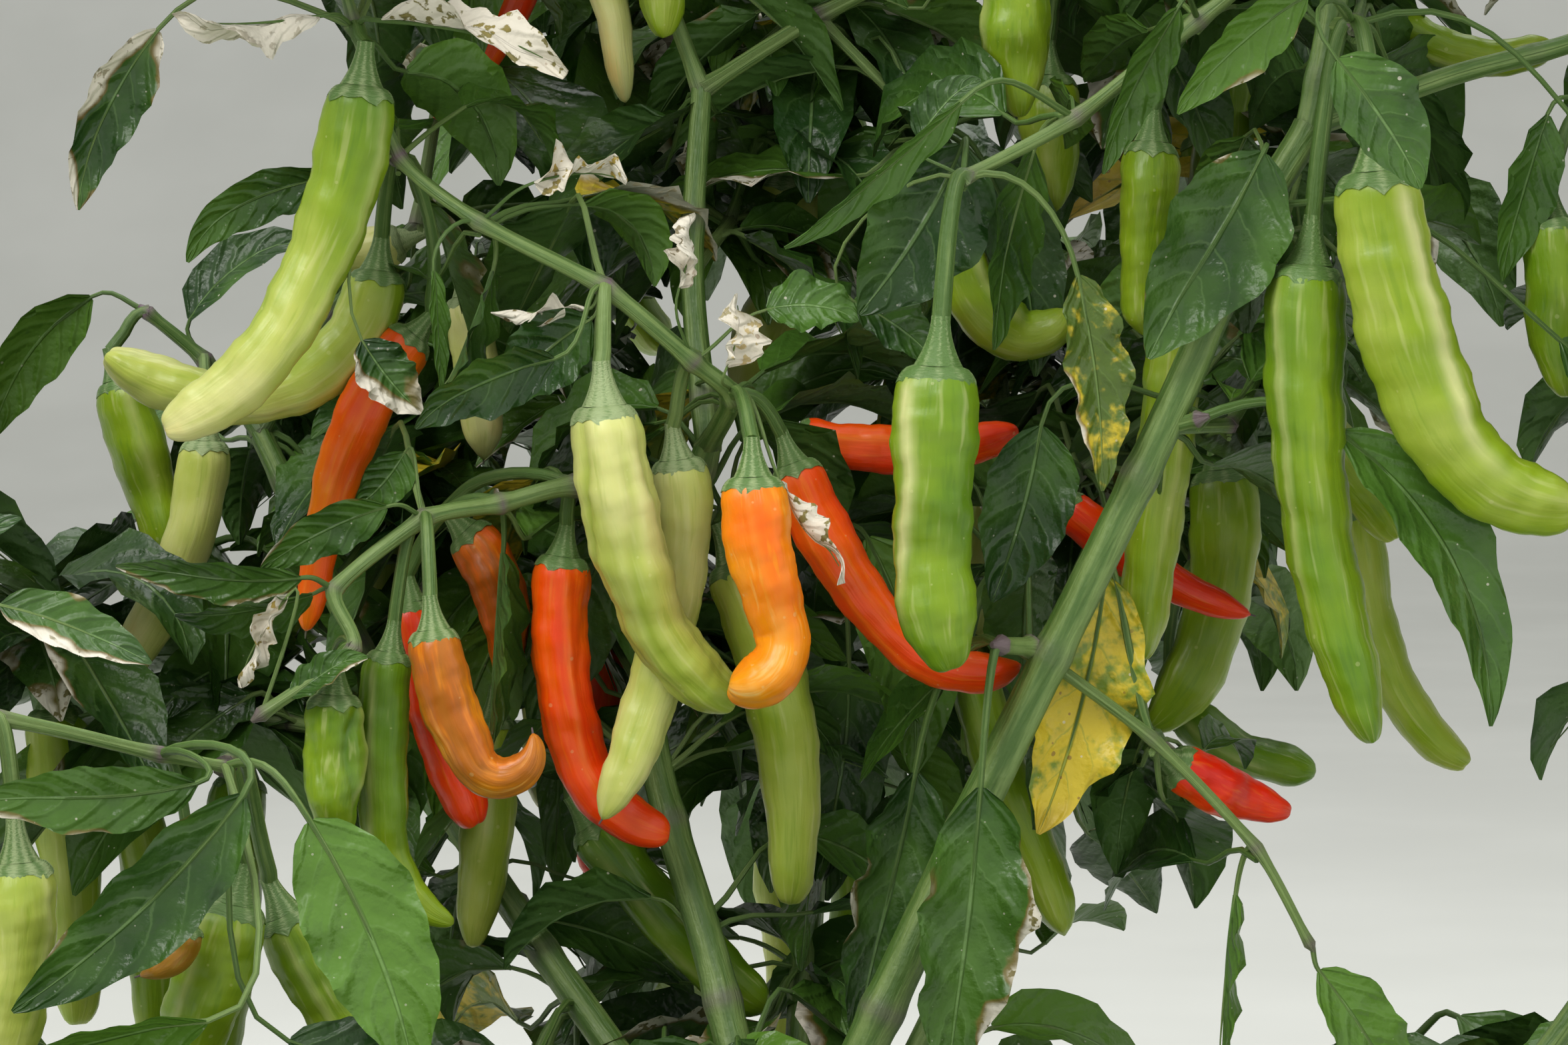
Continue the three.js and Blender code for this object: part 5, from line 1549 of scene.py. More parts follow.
class Graph:
    """Short calls that make the nodes of one tree."""

    def __init__(self, tree: Tree) -> None:
        """Keep the tree."""
        self.tree = tree

    def add(self, kind: str, inputs: Optional[dict] = None, **settings: object) -> Node:
        """Make a node.

        Args:
            kind: Its type.
            inputs: Value or socket for each input, by name or number.
            settings: Its properties.

        Returns:
            The node.
        """
        node = self.tree.nodes.new(kind)
        for key, value in settings.items():
            setattr(node, key, value)
        for key, value in (inputs or {}).items():
            if isinstance(value, Socket):
                self.tree.links.new(value, node.inputs[key])
            else:
                node.inputs[key].default_value = value
        return node

    def math(self, kind: str, *values: object) -> Socket:
        """Return the result of a sum of some kind on numbers or sockets."""
        return self.add("ShaderNodeMath", dict(enumerate(values)), operation=kind).outputs[0]

    def plus(self, *values: object) -> Socket:
        """Return the sum of two or more values."""
        first, second, *rest = values
        made = self.math("ADD", first, second)
        return self.plus(made, *rest) if rest else made

    def minus(self, a: object, b: object) -> Socket:
        """Return a - b."""
        return self.math("SUBTRACT", a, b)

    def times(self, a: object, b: object) -> Socket:
        """Return a * b."""
        return self.math("MULTIPLY", a, b)

    def most(self, a: object, b: object) -> Socket:
        """Return the larger of two values."""
        return self.math("MAXIMUM", a, b)

    def value(self, name: str) -> Socket:
        """Return a value that a piece carries."""
        return self.add("ShaderNodeAttribute", attribute_name=name).outputs["Fac"]

    def noise(self, scale: float, detail: float = 3, place: Optional[Socket] = None) -> Socket:
        """Return noise over the piece.

        Args:
            scale: Lumps to a metre.
            detail: Octaves.
            place: Place that it reads; the object's own when left out.

        Returns:
            The socket, about 0.5 in the mean.
        """
        place = place or self.add("ShaderNodeTexCoord").outputs["Object"]
        return self.add("ShaderNodeTexNoise", {"Vector": place, "Scale": scale, "Detail": detail,
                                               "Roughness": 0.55}).outputs[0]

    def spread(self, value: Socket, low: float, high: float, a: float = 0, b: float = 1) -> Socket:
        """Map a range smoothly onto another.

        Args:
            value: The value.
            low: Value that gives a.
            high: Value that gives b.
            a: Result at low.
            b: Result at high.

        Returns:
            The socket.
        """
        node = self.add("ShaderNodeMapRange", {"Value": value, "From Min": low, "From Max": high, "To Min": a,
                                               "To Max": b}, interpolation_type="SMOOTHSTEP")
        return node.outputs["Result"]

    def ramp(self, value: Socket, stops: Sequence[tuple]) -> Socket:
        """Return a colour from a row of colours.

        Args:
            value: Place in the row.
            stops: Place and colour of each.

        Returns:
            The colour.
        """
        node = self.add("ShaderNodeValToRGB", {0: value})
        line = node.color_ramp.elements
        while len(line) < len(stops):
            line.new(0.5)
        for element, (place, colour) in zip(line, stops):
            element.position, element.color = place, (*colour, 1)
        return node.outputs[0]

    def mix(self, share: object, a: object, b: object) -> Socket:
        """Mix two colours.

        Args:
            share: Share of the second.
            a: First colour.
            b: Second colour.

        Returns:
            The colour.
        """
        a, b = ((*c, 1) if isinstance(c, tuple) else c for c in (a, b))
        return self.add("ShaderNodeMix", {0: share, 6: a, 7: b}, data_type="RGBA").outputs[2]

    def relief(self, main: Node, height: Socket, strength: float, distance: float) -> None:
        """Raise the surface of a material.

        Args:
            main: Its main shader.
            height: Height at each place.
            strength: Share of the relief that shows.
            distance: Height in metres of a value of 1.
        """
        bump = self.add("ShaderNodeBump", {"Height": height, "Strength": strength, "Distance": distance})
        self.tree.links.new(bump.outputs[0], main.inputs["Normal"])


class Growing:
    """A Geometry Nodes tree with named inputs, run on a mesh."""

    def __init__(self, name: str, inputs: dict[str, str]) -> None:
        """Start the tree.

        Args:
            name: Its name.
            inputs: Name and type of each input.
        """
        self.tree = bpy.data.node_groups.new(name, "GeometryNodeTree")
        face = self.tree.interface
        self.inputs = {key: face.new_socket(key, in_out="INPUT", socket_type="NodeSocket" + kind).identifier
                       for key, kind in {"Geometry": "Geometry", **inputs, "Finish": "Material"}.items()}
        face.new_socket("Geometry", in_out="OUTPUT", socket_type="NodeSocketGeometry")
        self.graph = Graph(self.tree)
        self.start = self.graph.add("NodeGroupInput").outputs

    def store(self, made: Node, name: str, value: Socket) -> Node:
        """Return a node that adds a named value to what was made."""
        return self.graph.add("GeometryNodeStoreNamedAttribute", {
            "Geometry": made.outputs[0], "Name": name, "Value": value}, data_type="FLOAT", domain="POINT")

    def end(self, made: Node) -> None:
        """Realize what was made, give it its material and put it out."""
        g = self.graph
        real = g.add("GeometryNodeRealizeInstances", {"Geometry": made.outputs[0]})
        done = g.add("GeometryNodeSetMaterial", {"Geometry": real.outputs[0],
                                                 "Material": self.start["Finish"]})
        g.add("NodeGroupOutput", {"Geometry": done.outputs[0]})

    def run(self, name: str, mesh: bpy.types.Mesh, **settings: object) -> Piece:
        """Run the tree on a mesh and keep the plain result.

        Args:
            name: Name of the piece.
            mesh: Its starting mesh.
            settings: Value of each input.

        Returns:
            The piece.
        """
        piece = bpy.data.objects.new(name, mesh)
        bpy.context.scene.collection.objects.link(piece)
        modifier = piece.modifiers.new("growth", "NODES")
        modifier.node_group = self.tree
        for key, value in settings.items():
            modifier[self.inputs[key]] = value
        bpy.context.view_layer.update()
        result = bpy.data.meshes.new_from_object(piece.evaluated_get(bpy.context.evaluated_depsgraph_get()))
        piece.modifiers.clear()
        piece.data = result
        result.name = name
        bpy.data.meshes.remove(mesh)
        return finished(piece)


class Strands(Growing):
    """Twigs and stalks: tubes with ridges along lines that carry their radius."""

    def __init__(self) -> None:
        """Build the tree."""
        super().__init__("strands", {"Sides": "Int", "Ridge": "Float", "Ridges": "Float"})
        g, start = self.graph, self.start
        line = g.add("GeometryNodeMeshToCurve", {"Mesh": start["Geometry"]})
        place = g.add("GeometryNodeSplineParameter").outputs
        line = self.store(line, "along", place["Length"])
        thick = g.add("GeometryNodeInputNamedAttribute", {"Name": "thick"}, data_type="FLOAT")
        line = g.add("GeometryNodeSetCurveRadius", {"Curve": line.outputs[0], "Radius": thick.outputs[0]})
        ring = g.add("GeometryNodeCurvePrimitiveCircle", {"Resolution": start["Sides"], "Radius": 1.0})
        share = g.add("GeometryNodeSplineParameter").outputs["Factor"]
        out = g.times(g.math("COSINE", g.times(g.times(share, start["Ridges"]), CIRCLE)), start["Ridge"])
        where = g.add("GeometryNodeInputPosition").outputs[0]
        shift = g.add("ShaderNodeVectorMath", {0: where, "Scale": out}, operation="SCALE")
        ring = g.add("GeometryNodeSetPosition", {"Geometry": ring.outputs[0], "Offset": shift.outputs[0]})
        ring = self.store(ring, "around", share)
        tube = g.add("GeometryNodeCurveToMesh", {
            "Curve": line.outputs[0], "Profile Curve": ring.outputs[0], "Fill Caps": True})
        if "Scale" in tube.inputs:
            g.tree.links.new(thick.outputs[0], tube.inputs["Scale"])
        self.end(g.add("GeometryNodeSetShadeSmooth", {"Geometry": tube.outputs[0]}))

    def piece(self, name: str, lines: Sequence[tuple], sides: int, finish: Material) -> Piece:
        """Make tubes along lines.

        Args:
            name: Name of the piece.
            lines: Points, radii, tone and, by point, how near a node each line is.
            sides: Sides of a tube.
            finish: Its material.

        Returns:
            The piece.
        """
        points, edges, thick, tone, node = [], [], [], [], []
        for path, radii, shade, *near in lines:
            node.extend(near[0] if near else [0.0] * len(path))
            edges.extend((len(points) + i, len(points) + i + 1) for i in range(len(path) - 1))
            points.extend(path)
            thick.extend(radii)
            tone.extend([shade] * len(path))
        mesh = bpy.data.meshes.new(name)
        mesh.from_pydata((np.array(points) * MM).tolist(), edges, [])
        for key, value in (("thick", np.array(thick) * MM), ("tone", tone), ("node", node)):
            mesh.attributes.new(key, "FLOAT", "POINT").data.foreach_set("value", value)
        return self.run(name, mesh, Sides=sides, Ridge=0.07, Ridges=5.0, Finish=finish)


class Blossoms(Growing):
    """White flowers and buds, dealt out to the tips of the finest twigs."""

    def __init__(self, petal: float = 8.5, petals: int = 5, wall: float = 0.22) -> None:
        """Build the pattern and the tree.

        Args:
            petal: Length of a petal.
            petals: Petals of a flower.
            wall: Half the thickness of a petal.
        """
        bag = MeshBag()
        for k in range(petals):
            a = CIRCLE * k / petals
            out, side = np.array((math.cos(a), math.sin(a), 0)), np.array((-math.sin(a), math.cos(a), 0))
            rings = []
            for t, wide, rise in ((0.06, 1.0, 0.0), (0.5, 2.3, 1.1), (0.98, 0.3, -1.2)):
                middle = out * petal * t + np.array((0, 0, 1.6 + rise))
                rings.append([middle + side * wide, middle + (0, 0, wall), middle - side * wide,
                              middle - (0, 0, wall)])
            bag.tube(np.array(rings), white=1.0, along=np.array([[0.0], [0.5], [1.0]]))
        turn = circle(6)[0]
        for rows, white in ((((-1.6, 0.7), (0.4, 2.1), (1.7, 1.9)), 0.0), (((1.5, 0.9), (4.2, 0.8)), 0.4)):
            rings = [np.stack([r * np.cos(turn), r * np.sin(turn), 0 * turn + z], -1) for z, r in rows]
            bag.tube(np.array(rings), white=white, along=0.0)
        self.pattern = bag.piece("blossom_pattern", None)
        super().__init__("blossoms", {"Pattern": "Object", "Smallest": "Float", "Largest": "Float",
                                      "Seed": "Int"})
        g, start = self.graph, self.start
        shape = g.add("GeometryNodeObjectInfo", {"Object": start["Pattern"]})
        aim = g.add("GeometryNodeInputNamedAttribute", {"Name": "aim"}, data_type="FLOAT_VECTOR")
        turned = g.add("FunctionNodeAlignEulerToVector", {"Vector": aim.outputs[0]}, axis="Z")
        grow = g.add("FunctionNodeRandomValue", {"Min": start["Smallest"], "Max": start["Largest"],
                                                 "Seed": start["Seed"]}, data_type="FLOAT")
        self.end(g.add("GeometryNodeInstanceOnPoints", {
            "Points": start["Geometry"], "Instance": shape.outputs["Geometry"], "Rotation": turned.outputs[0],
            "Scale": next(s for s in grow.outputs if s.enabled)}))

    def piece(self, name: str, places: Sequence[tuple[Vec, Vec]], finish: Material) -> Piece:
        """Make the blossom of one part of the crown.

        Args:
            name: Name of the piece.
            places: Place and way of each.
            finish: Its material.

        Returns:
            The piece.
        """
        mesh = bpy.data.meshes.new(name)
        mesh.from_pydata([times(at, MM) for at, _ in places], [], [])
        aims = np.array([way for _, way in places]).ravel()
        mesh.attributes.new("aim", "FLOAT_VECTOR", "POINT").data.foreach_set("vector", aims)
        return self.run(name, mesh, Pattern=self.pattern, Smallest=0.45, Largest=1.0, Seed=7, Finish=finish)

    def clear(self) -> None:
        """Remove the pattern once every piece is made."""
        bpy.data.objects.remove(self.pattern)


def shader(name: str) -> tuple[Material, Graph, Node]:
    """Start a material and return it, its graph and its main shader."""
    material = bpy.data.materials.new(name)
    material.use_nodes = True
    return material, Graph(material.node_tree), material.node_tree.nodes["Principled BSDF"]


def effect(name: str, inputs: dict, make: Callable[[Graph, Sockets], dict]) -> Tree:
    """Build a shared effect as a shader node group.

    Args:
        name: Its name.
        inputs: Value of each input at the start.
        make: Makes its nodes and returns the socket of each output.

    Returns:
        The group.
    """
    tree = bpy.data.node_groups.new(name, "ShaderNodeTree")
    for key, value in inputs.items():
        socket = tree.interface.new_socket(key, in_out="INPUT", socket_type="NodeSocketFloat")
        socket.default_value = value
    g = Graph(tree)
    made = make(g, g.add("NodeGroupInput").outputs)
    for key in made:
        tree.interface.new_socket(key, in_out="OUTPUT", socket_type="NodeSocketFloat")
    g.add("NodeGroupOutput", made)
    return tree


class Effects:
    """The effects that several finishes share."""

    def __init__(self) -> None:
        """Build the groups."""
        self.specks = effect("specks", {"Scale": 160.0, "Size": 0.2, "Share": 0.4}, self._specks)
        self.mottle = effect("mottle", {"Scale": 60.0, "Contrast": 1.0}, self._mottle)

    @staticmethod
    def _specks(g: Graph, start: Sockets) -> dict:
        """Return scattered round specks, and dust of smaller ones.

        Args:
            g: Graph of the group.
            start: Its inputs.

        Returns:
            The mask of each.
        """
        place = g.add("ShaderNodeTexCoord").outputs["Object"]
        cells = g.add("ShaderNodeTexVoronoi", {"Vector": place, "Scale": start["Scale"]}).outputs
        colour = g.add("ShaderNodeSeparateColor", {0: cells["Color"]}).outputs
        reach, out = g.times(start["Size"], colour[1]), {}
        for key, channel, wide, many in (("Mask", 0, 1.0, 1.0), ("Dust", 2, 0.42, 2.0)):
            near = g.math("LESS_THAN", cells["Distance"], g.times(reach, wide))
            out[key] = g.times(near, g.math("LESS_THAN", colour[channel], g.times(start["Share"], many)))
        return out

    @staticmethod
    def _mottle(g: Graph, start: Sockets) -> dict:
        """Return soft patches.

        Args:
            g: Graph of the group.
            start: Its inputs.

        Returns:
            A value about 0.5 and a finer one.
        """
        place, out = g.add("ShaderNodeTexCoord").outputs["Object"], {}
        for key, finer in (("Patches", 1.0), ("Grain", 9.0)):
            noise = g.add("ShaderNodeTexNoise", {"Vector": place, "Detail": 3.0,
                                                 "Scale": g.times(start["Scale"], finer)}).outputs[0]
            out[key] = g.plus(g.times(g.minus(noise, 0.5), start["Contrast"]), 0.5)
        return out

    @staticmethod
    def place(g: Graph, tree: Tree, **inputs: float) -> Sockets:
        """Place a group in a material.

        Args:
            g: Graph of the material.
            tree: The group.
            inputs: Its values.

        Returns:
            Its outputs.
        """
        node = g.add("ShaderNodeGroup", node_tree=tree)
        for key, value in inputs.items():
            node.inputs[key].default_value = value
        return node.outputs


@dataclass(frozen=True)
class LeafFinish:
    """Dark glossy leaves with paler veins, some with yellow or bleached patches.

    Attributes:
        dark: Deepest green.
        light: Lightest green.
        vein: Veins.
        under: Lower side.
        young: Young leaves.
        fading: Green of an old leaf.
        yellow: An old leaf.
        dry: Bleached patches.
        burnt: Edge of a bleached patch.
        rough: Roughness.
        gloss: Specular level.
        veins: Side veins along a blade.
        vein_width: Where a side vein begins and is full, in shares of their distance.
        rib_width: Where the midrib begins and is full, in shares of the half width.
        relief: Share and height in metres of the relief.
    """

    dark: Vec = (0.016, 0.052, 0.009)
    light: Vec = (0.070, 0.165, 0.018)
    vein: Vec = (0.20, 0.34, 0.11)
    under: Vec = (0.075, 0.16, 0.035)
    young: Vec = (0.11, 0.235, 0.025)
    fading: Vec = (0.22, 0.31, 0.035)
    yellow: Vec = (0.68, 0.52, 0.035)
    dry: Vec = (0.74, 0.69, 0.58)
    burnt: Vec = (0.24, 0.12, 0.04)
    rough: float = 0.36
    gloss: float = 0.42
    veins: float = 6
    vein_width: Span = (0.055, 0.01)
    rib_width: Span = (0.06, 0.02)
    relief: Span = (0.6, 0.0011)

    def material(self, effects: Effects) -> Material:
        """Build the material and return it."""
        material, g, main = shader("leaf_green")
        across = g.math("ABSOLUTE", g.value("across"))
        along, under, tone = g.value("along"), g.value("under"), g.value("tone")
        age, bleach = g.value("age"), g.value("bleach")
        soft = effects.place(g, effects.mottle, Scale=42.0, Contrast=1.5)
        patches, grain = soft["Patches"], soft["Grain"]
        # Side veins run out and forward from the midrib, and waver.
        rise = g.times(g.math("POWER", across, 1.35), 1.5)
        bent = g.plus(g.times(patches, 0.8), g.times(grain, 0.16))
        near = g.math("PINGPONG", g.plus(g.minus(g.times(along, self.veins), rise), bent), 0.5)
        twig = g.times(g.spread(near, *self.vein_width), g.spread(across, 0.9, 0.3, 0, 0.55))
        rib = g.spread(across, *self.rib_width)
        green = g.mix(g.spread(g.plus(patches, g.times(tone, 0.5)), 0.35, 1.1), self.dark, self.light)
        green = g.mix(g.spread(tone, 0.72, 1.0, 0, 0.7), green, self.young)
        green = g.mix(g.most(g.times(twig, 0.32), g.times(rib, 0.5)), green, self.vein)
        green = g.mix(g.times(under, 0.5), green, self.under)
        green = g.mix(g.spread(age, 0.05, 0.6, 0, 0.8), green, self.fading)
        # An old leaf turns yellow between its veins.
        both = g.plus(patches, g.times(grain, 0.5))
        uneven = g.times(g.minus(both, 0.75), g.spread(age, 0, 0.3, 0.5, 2.2))
        old = g.spread(g.plus(age, uneven), 0.2, 0.8)
        colour = g.mix(g.times(old, g.minus(1.0, g.times(g.most(twig, rib), 0.8))), green, self.yellow)
        # Bleached patches come in from one margin, with a burnt edge; an old tip is burnt too.
        side = g.times(g.value("across"), g.spread(tone, 0.3, 0.7, -0.16, 0.16))
        patch = g.plus(g.times(across, 0.28), side, g.times(patches, 0.9), g.times(bleach, 1.15))
        scorch, white = (g.times(g.spread(patch, *span), g.math("CEIL", bleach))
                         for span in ((1.05, 1.09), (1.08, 1.2)))
        tip = g.times(g.plus(along, g.times(patches, 0.5)), age)
        colour = g.mix(g.times(g.most(scorch, g.spread(tip, 0.74, 0.9)), 0.55), colour, self.burnt)
        rest = g.times(g.spread(grain, 0.6, 0.68), g.spread(tone, 0.1, 0.4, 0.3, 0.95))
        colour = g.mix(g.times(white, g.minus(1.0, rest)), colour, self.dry)
        # Brown flecks on old and bleached parts, pale specks and dust on all.
        fleck = effects.place(g, effects.specks, Scale=480.0, Size=0.34, Share=0.16)
        brown = g.times(fleck["Mask"], g.most(g.times(white, 0.6), old))
        colour = g.mix(g.times(brown, 0.7), colour, self.burnt)
        specks = effects.place(g, effects.specks, Scale=260.0, Size=0.12, Share=0.2)["Mask"]
        colour = g.mix(g.times(g.most(specks, g.times(fleck["Dust"], 0.6)), 0.55), colour, self.dry)
        g.tree.links.new(colour, main.inputs["Base Color"])
        rough = g.plus(g.times(patches, 0.3), g.plus(g.times(white, 0.3), self.rough - 0.15))
        g.tree.links.new(g.plus(rough, g.times(under, 0.16)), main.inputs["Roughness"])
        lumps = effects.place(g, effects.mottle, Scale=150.0, Contrast=1.0)["Patches"]
        hills = g.minus(g.times(g.spread(near, 0.0, 0.3), 0.5), rib)
        g.relief(main, g.plus(hills, g.times(grain, 0.4), g.times(lumps, 1.5)), *self.relief)
        main.inputs["Specular IOR Level"].default_value = self.gloss
        return material


@dataclass(frozen=True)
class FruitFinish:
    """Glossy chillies, from green through lime and orange to red.

    Attributes:
        ripening: Place and colour of each stage.
        bronze: Brown blotches.
        streak_and_highlight: Pale streaks and specks, and the painted highlight stripe of an unripe fruit.
        ripe_streak_and_highlight: Streaks and the painted highlight stripe of a ripe fruit.
        rough: Range of the roughness.
        relief: Share and height in metres of the relief.
        sockets: Plain values of the main shader.
    """

    ripening: tuple = ((0.0, (0.045, 0.13, 0.006)), (0.15, (0.125, 0.25, 0.007)), (0.28, (0.25, 0.37, 0.012)),
                       (0.41, (0.50, 0.56, 0.11)), (0.52, (0.78, 0.76, 0.32)), (0.66, (0.95, 0.34, 0.002)),
                       (0.8, (0.95, 0.13, 0.0)), (0.93, (0.86, 0.04, 0.0)), (1.0, (0.70, 0.014, 0.0)))
    bronze: Vec = (0.40, 0.12, 0.012)
    streak_and_highlight: Vec = (0.75, 0.74, 0.35)
    ripe_streak_and_highlight: Vec = (0.95, 0.30, 0.02)
    rough: Span = (0.30, 0.43)
    relief: Span = (0.35, 0.0008)
    sockets: tuple = (("Specular IOR Level", 0.38), ("Coat Weight", 0.08), ("Coat Roughness", 0.2),
                      ("Subsurface Weight", 0.12), ("Subsurface Radius", (0.004, 0.002, 0.001)),
                      ("Subsurface Scale", 1.0))

    def material(self, effects: Effects) -> Material:
        """Build the material and return it."""
        material, g, main = shader("chilli_skin")
        ripe, brown = g.value("ripe"), g.value("brown")
        soft = effects.place(g, effects.mottle, Scale=55.0, Contrast=1.2)
        patches, grain = soft["Patches"], soft["Grain"]
        stage = g.plus(ripe, g.times(g.minus(patches, 0.5), 0.16))
        # Streaks run along the fruit and deeper ones are less ripe; the creases take the same less ripe
        # colour as painted shade, which darkens the green and lime fruit there.
        place = g.add("ShaderNodeCombineXYZ", {
            0: g.value("around"), 1: g.times(g.value("along"), 0.16), 2: g.value("tone")}).outputs[0]
        streaks = g.noise(26.0, 2, place)
        low = g.times(g.value("crease"), g.spread(patches, 0.25, 0.6, 0.25, 0.95))
        colour = g.mix(g.most(g.spread(streaks, 0.44, 0.3, 0, 0.5), low), g.ramp(stage, self.ripening),
                       g.ramp(g.minus(stage, 0.09), self.ripening))
        # Painted highlight: the pale ridge stripe, set from the front view, lightens the colour toward the
        # streak colours; the palest random streaks join it.
        pale = g.most(g.times(g.value("ridge"), 0.9), g.spread(streaks, 0.56, 0.75, 0, 0.3))
        line = g.mix(g.spread(ripe, 0.55, 0.72), self.streak_and_highlight, self.ripe_streak_and_highlight)
        colour = g.mix(pale, colour, g.mix(0.8, colour, line))
        blotch = g.plus(g.times(patches, 0.5), g.times(streaks, 0.5), g.times(brown, 0.5))
        colour = g.mix(g.spread(blotch, 0.72, 0.98, 0, 0.8), colour, self.bronze)
        specks = effects.place(g, effects.specks, Scale=420.0, Size=0.24, Share=0.16)["Mask"]
        colour = g.mix(g.times(specks, 0.20), colour, self.streak_and_highlight)
        g.tree.links.new(colour, main.inputs["Base Color"])
        g.tree.links.new(g.spread(grain, 0.2, 0.8, *self.rough), main.inputs["Roughness"])
        g.relief(main, g.plus(g.times(streaks, 0.8), g.times(grain, 0.25)), *self.relief)
        for key, value in self.sockets:
            main.inputs[key].default_value = value
        return material


@dataclass(frozen=True)
class StemFinish:
    """Green ridged stems, purple at the nodes and corky where they are old.

    Attributes:
        name: Name of the material.
        ridges: Ridges round a stem.
        green: Green of the skin.
        ridge: Paler ridges.
        purple: Tint at the nodes.
        cork: Old bark.
        crack: Fissures of the bark.
        rough: Range of the roughness.
        relief: Share and height in metres of the relief.
    """

    name: str
    ridges: int = 5
    green: Vec = (0.070, 0.145, 0.024)
    ridge: Vec = (0.18, 0.27, 0.075)
    purple: Vec = (0.16, 0.08, 0.14)
    cork: Vec = (0.24, 0.17, 0.10)
    crack: Vec = (0.06, 0.04, 0.025)
    rough: Span = (0.38, 0.6)
    relief: Span = (0.6, 0.0008)

    def material(self, effects: Effects, limb: bool) -> Material:
        """Build the material.

        Args:
            effects: Shared effects.
            limb: Whether it is for a limb, which carries its length in millimetres and how woody it is.

        Returns:
            The material.
        """
        material, g, main = shader(self.name)
        soft = effects.place(g, effects.mottle, Scale=70.0, Contrast=1.0)
        around, along, tone = g.value("around"), g.value("along"), g.value("tone")
        uneven = g.times(g.minus(soft["Patches"], 0.5), 0.5)

        def streaks(scale: float, detail: float, wide: float, long: float) -> Socket:
            """Return noise that is drawn out along the stem."""
            return g.noise(scale, detail, g.add("ShaderNodeCombineXYZ", {
                0: g.times(around, wide), 1: g.times(along, long), 2: tone}).outputs[0])

        lines = streaks(9.0, 3, 3.0, 0.01 if limb else 6.0)
        ridges = g.math("COSINE", g.times(around, CIRCLE * self.ridges))
        shade = uneven if limb else g.plus(uneven, g.spread(tone, 0, 1, -0.22, 0.3))
        share = g.plus(g.times(ridges, 0.18), g.plus(g.times(lines, 0.9), shade))
        colour = g.mix(g.spread(share, 0.2, 0.75), self.green, self.ridge)
        node = g.times(g.math("POWER", g.value("node"), 2.0), g.spread(soft["Patches"], 0.3, 0.6, 0.2, 1))
        colour = g.mix(g.times(node, 0.4 if limb else 0.8), colour, self.purple)
        height = g.plus(g.times(soft["Grain"], 0.4), g.times(lines, 0.9))
        if limb:
            bark = streaks(8.0, 4, 5.0, 0.018)
            old = g.spread(g.plus(g.value("woody"), uneven), 0.15, 0.6)
            colour = g.mix(old, colour, g.mix(g.spread(bark, 0.62, 0.42), self.cork, self.crack))
            height = g.plus(height, g.times(g.times(bark, old), 3.0))
        g.tree.links.new(colour, main.inputs["Base Color"])
        g.tree.links.new(g.spread(soft["Grain"], 0.2, 0.8, *self.rough), main.inputs["Roughness"])
        g.relief(main, height, *self.relief)
        return material


@dataclass(frozen=True)
class BlossomFinish:
    """White petals that turn green at the heart.

    Attributes:
        petal: White of a petal.
        heart: Green of the cup.
        anther: Grey violet of the middle.
        rough: Roughness.
    """

    petal: Vec = (0.80, 0.80, 0.72)
    heart: Vec = (0.16, 0.30, 0.05)
    anther: Vec = (0.28, 0.28, 0.34)
    rough: float = 0.55

    def material(self) -> Material:
        """Build the material and return it."""
        material, g, main = shader("blossom_white")
        white = g.value("white")
        petal = g.mix(g.spread(g.value("along"), 0.0, 0.45), self.heart, self.petal)
        middle = g.mix(g.math("GREATER_THAN", white, 0.2), self.heart, self.anther)
        colour = g.mix(g.math("GREATER_THAN", white, 0.7), middle, petal)
        colour = g.mix(g.spread(g.noise(600.0), 0.4, 0.7, 0, 0.25), colour, self.heart)
        g.tree.links.new(colour, main.inputs["Base Color"])
        main.inputs["Roughness"].default_value = self.rough
        return material


@dataclass
class Wood:
    """The trunk and the boughs.

    Attributes:
        maker: Makes each limb.
        trunk: The trunk.
        boughs: The boughs.
    """

    maker: LimbMaker
    trunk: Limb
    boughs: Sequence[Limb]

    def build(self, finish: Material) -> None:
        """Build one piece for each limb, of a finish."""
        for limb in (self.trunk, *self.boughs):
            bag, grounded = MeshBag(), limb is self.trunk
            self.maker.limb(bag, limb, grounded)
            piece = bag.piece(limb.name + "_bark", finish, 60)
            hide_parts(limb.name)
            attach(piece, "root")


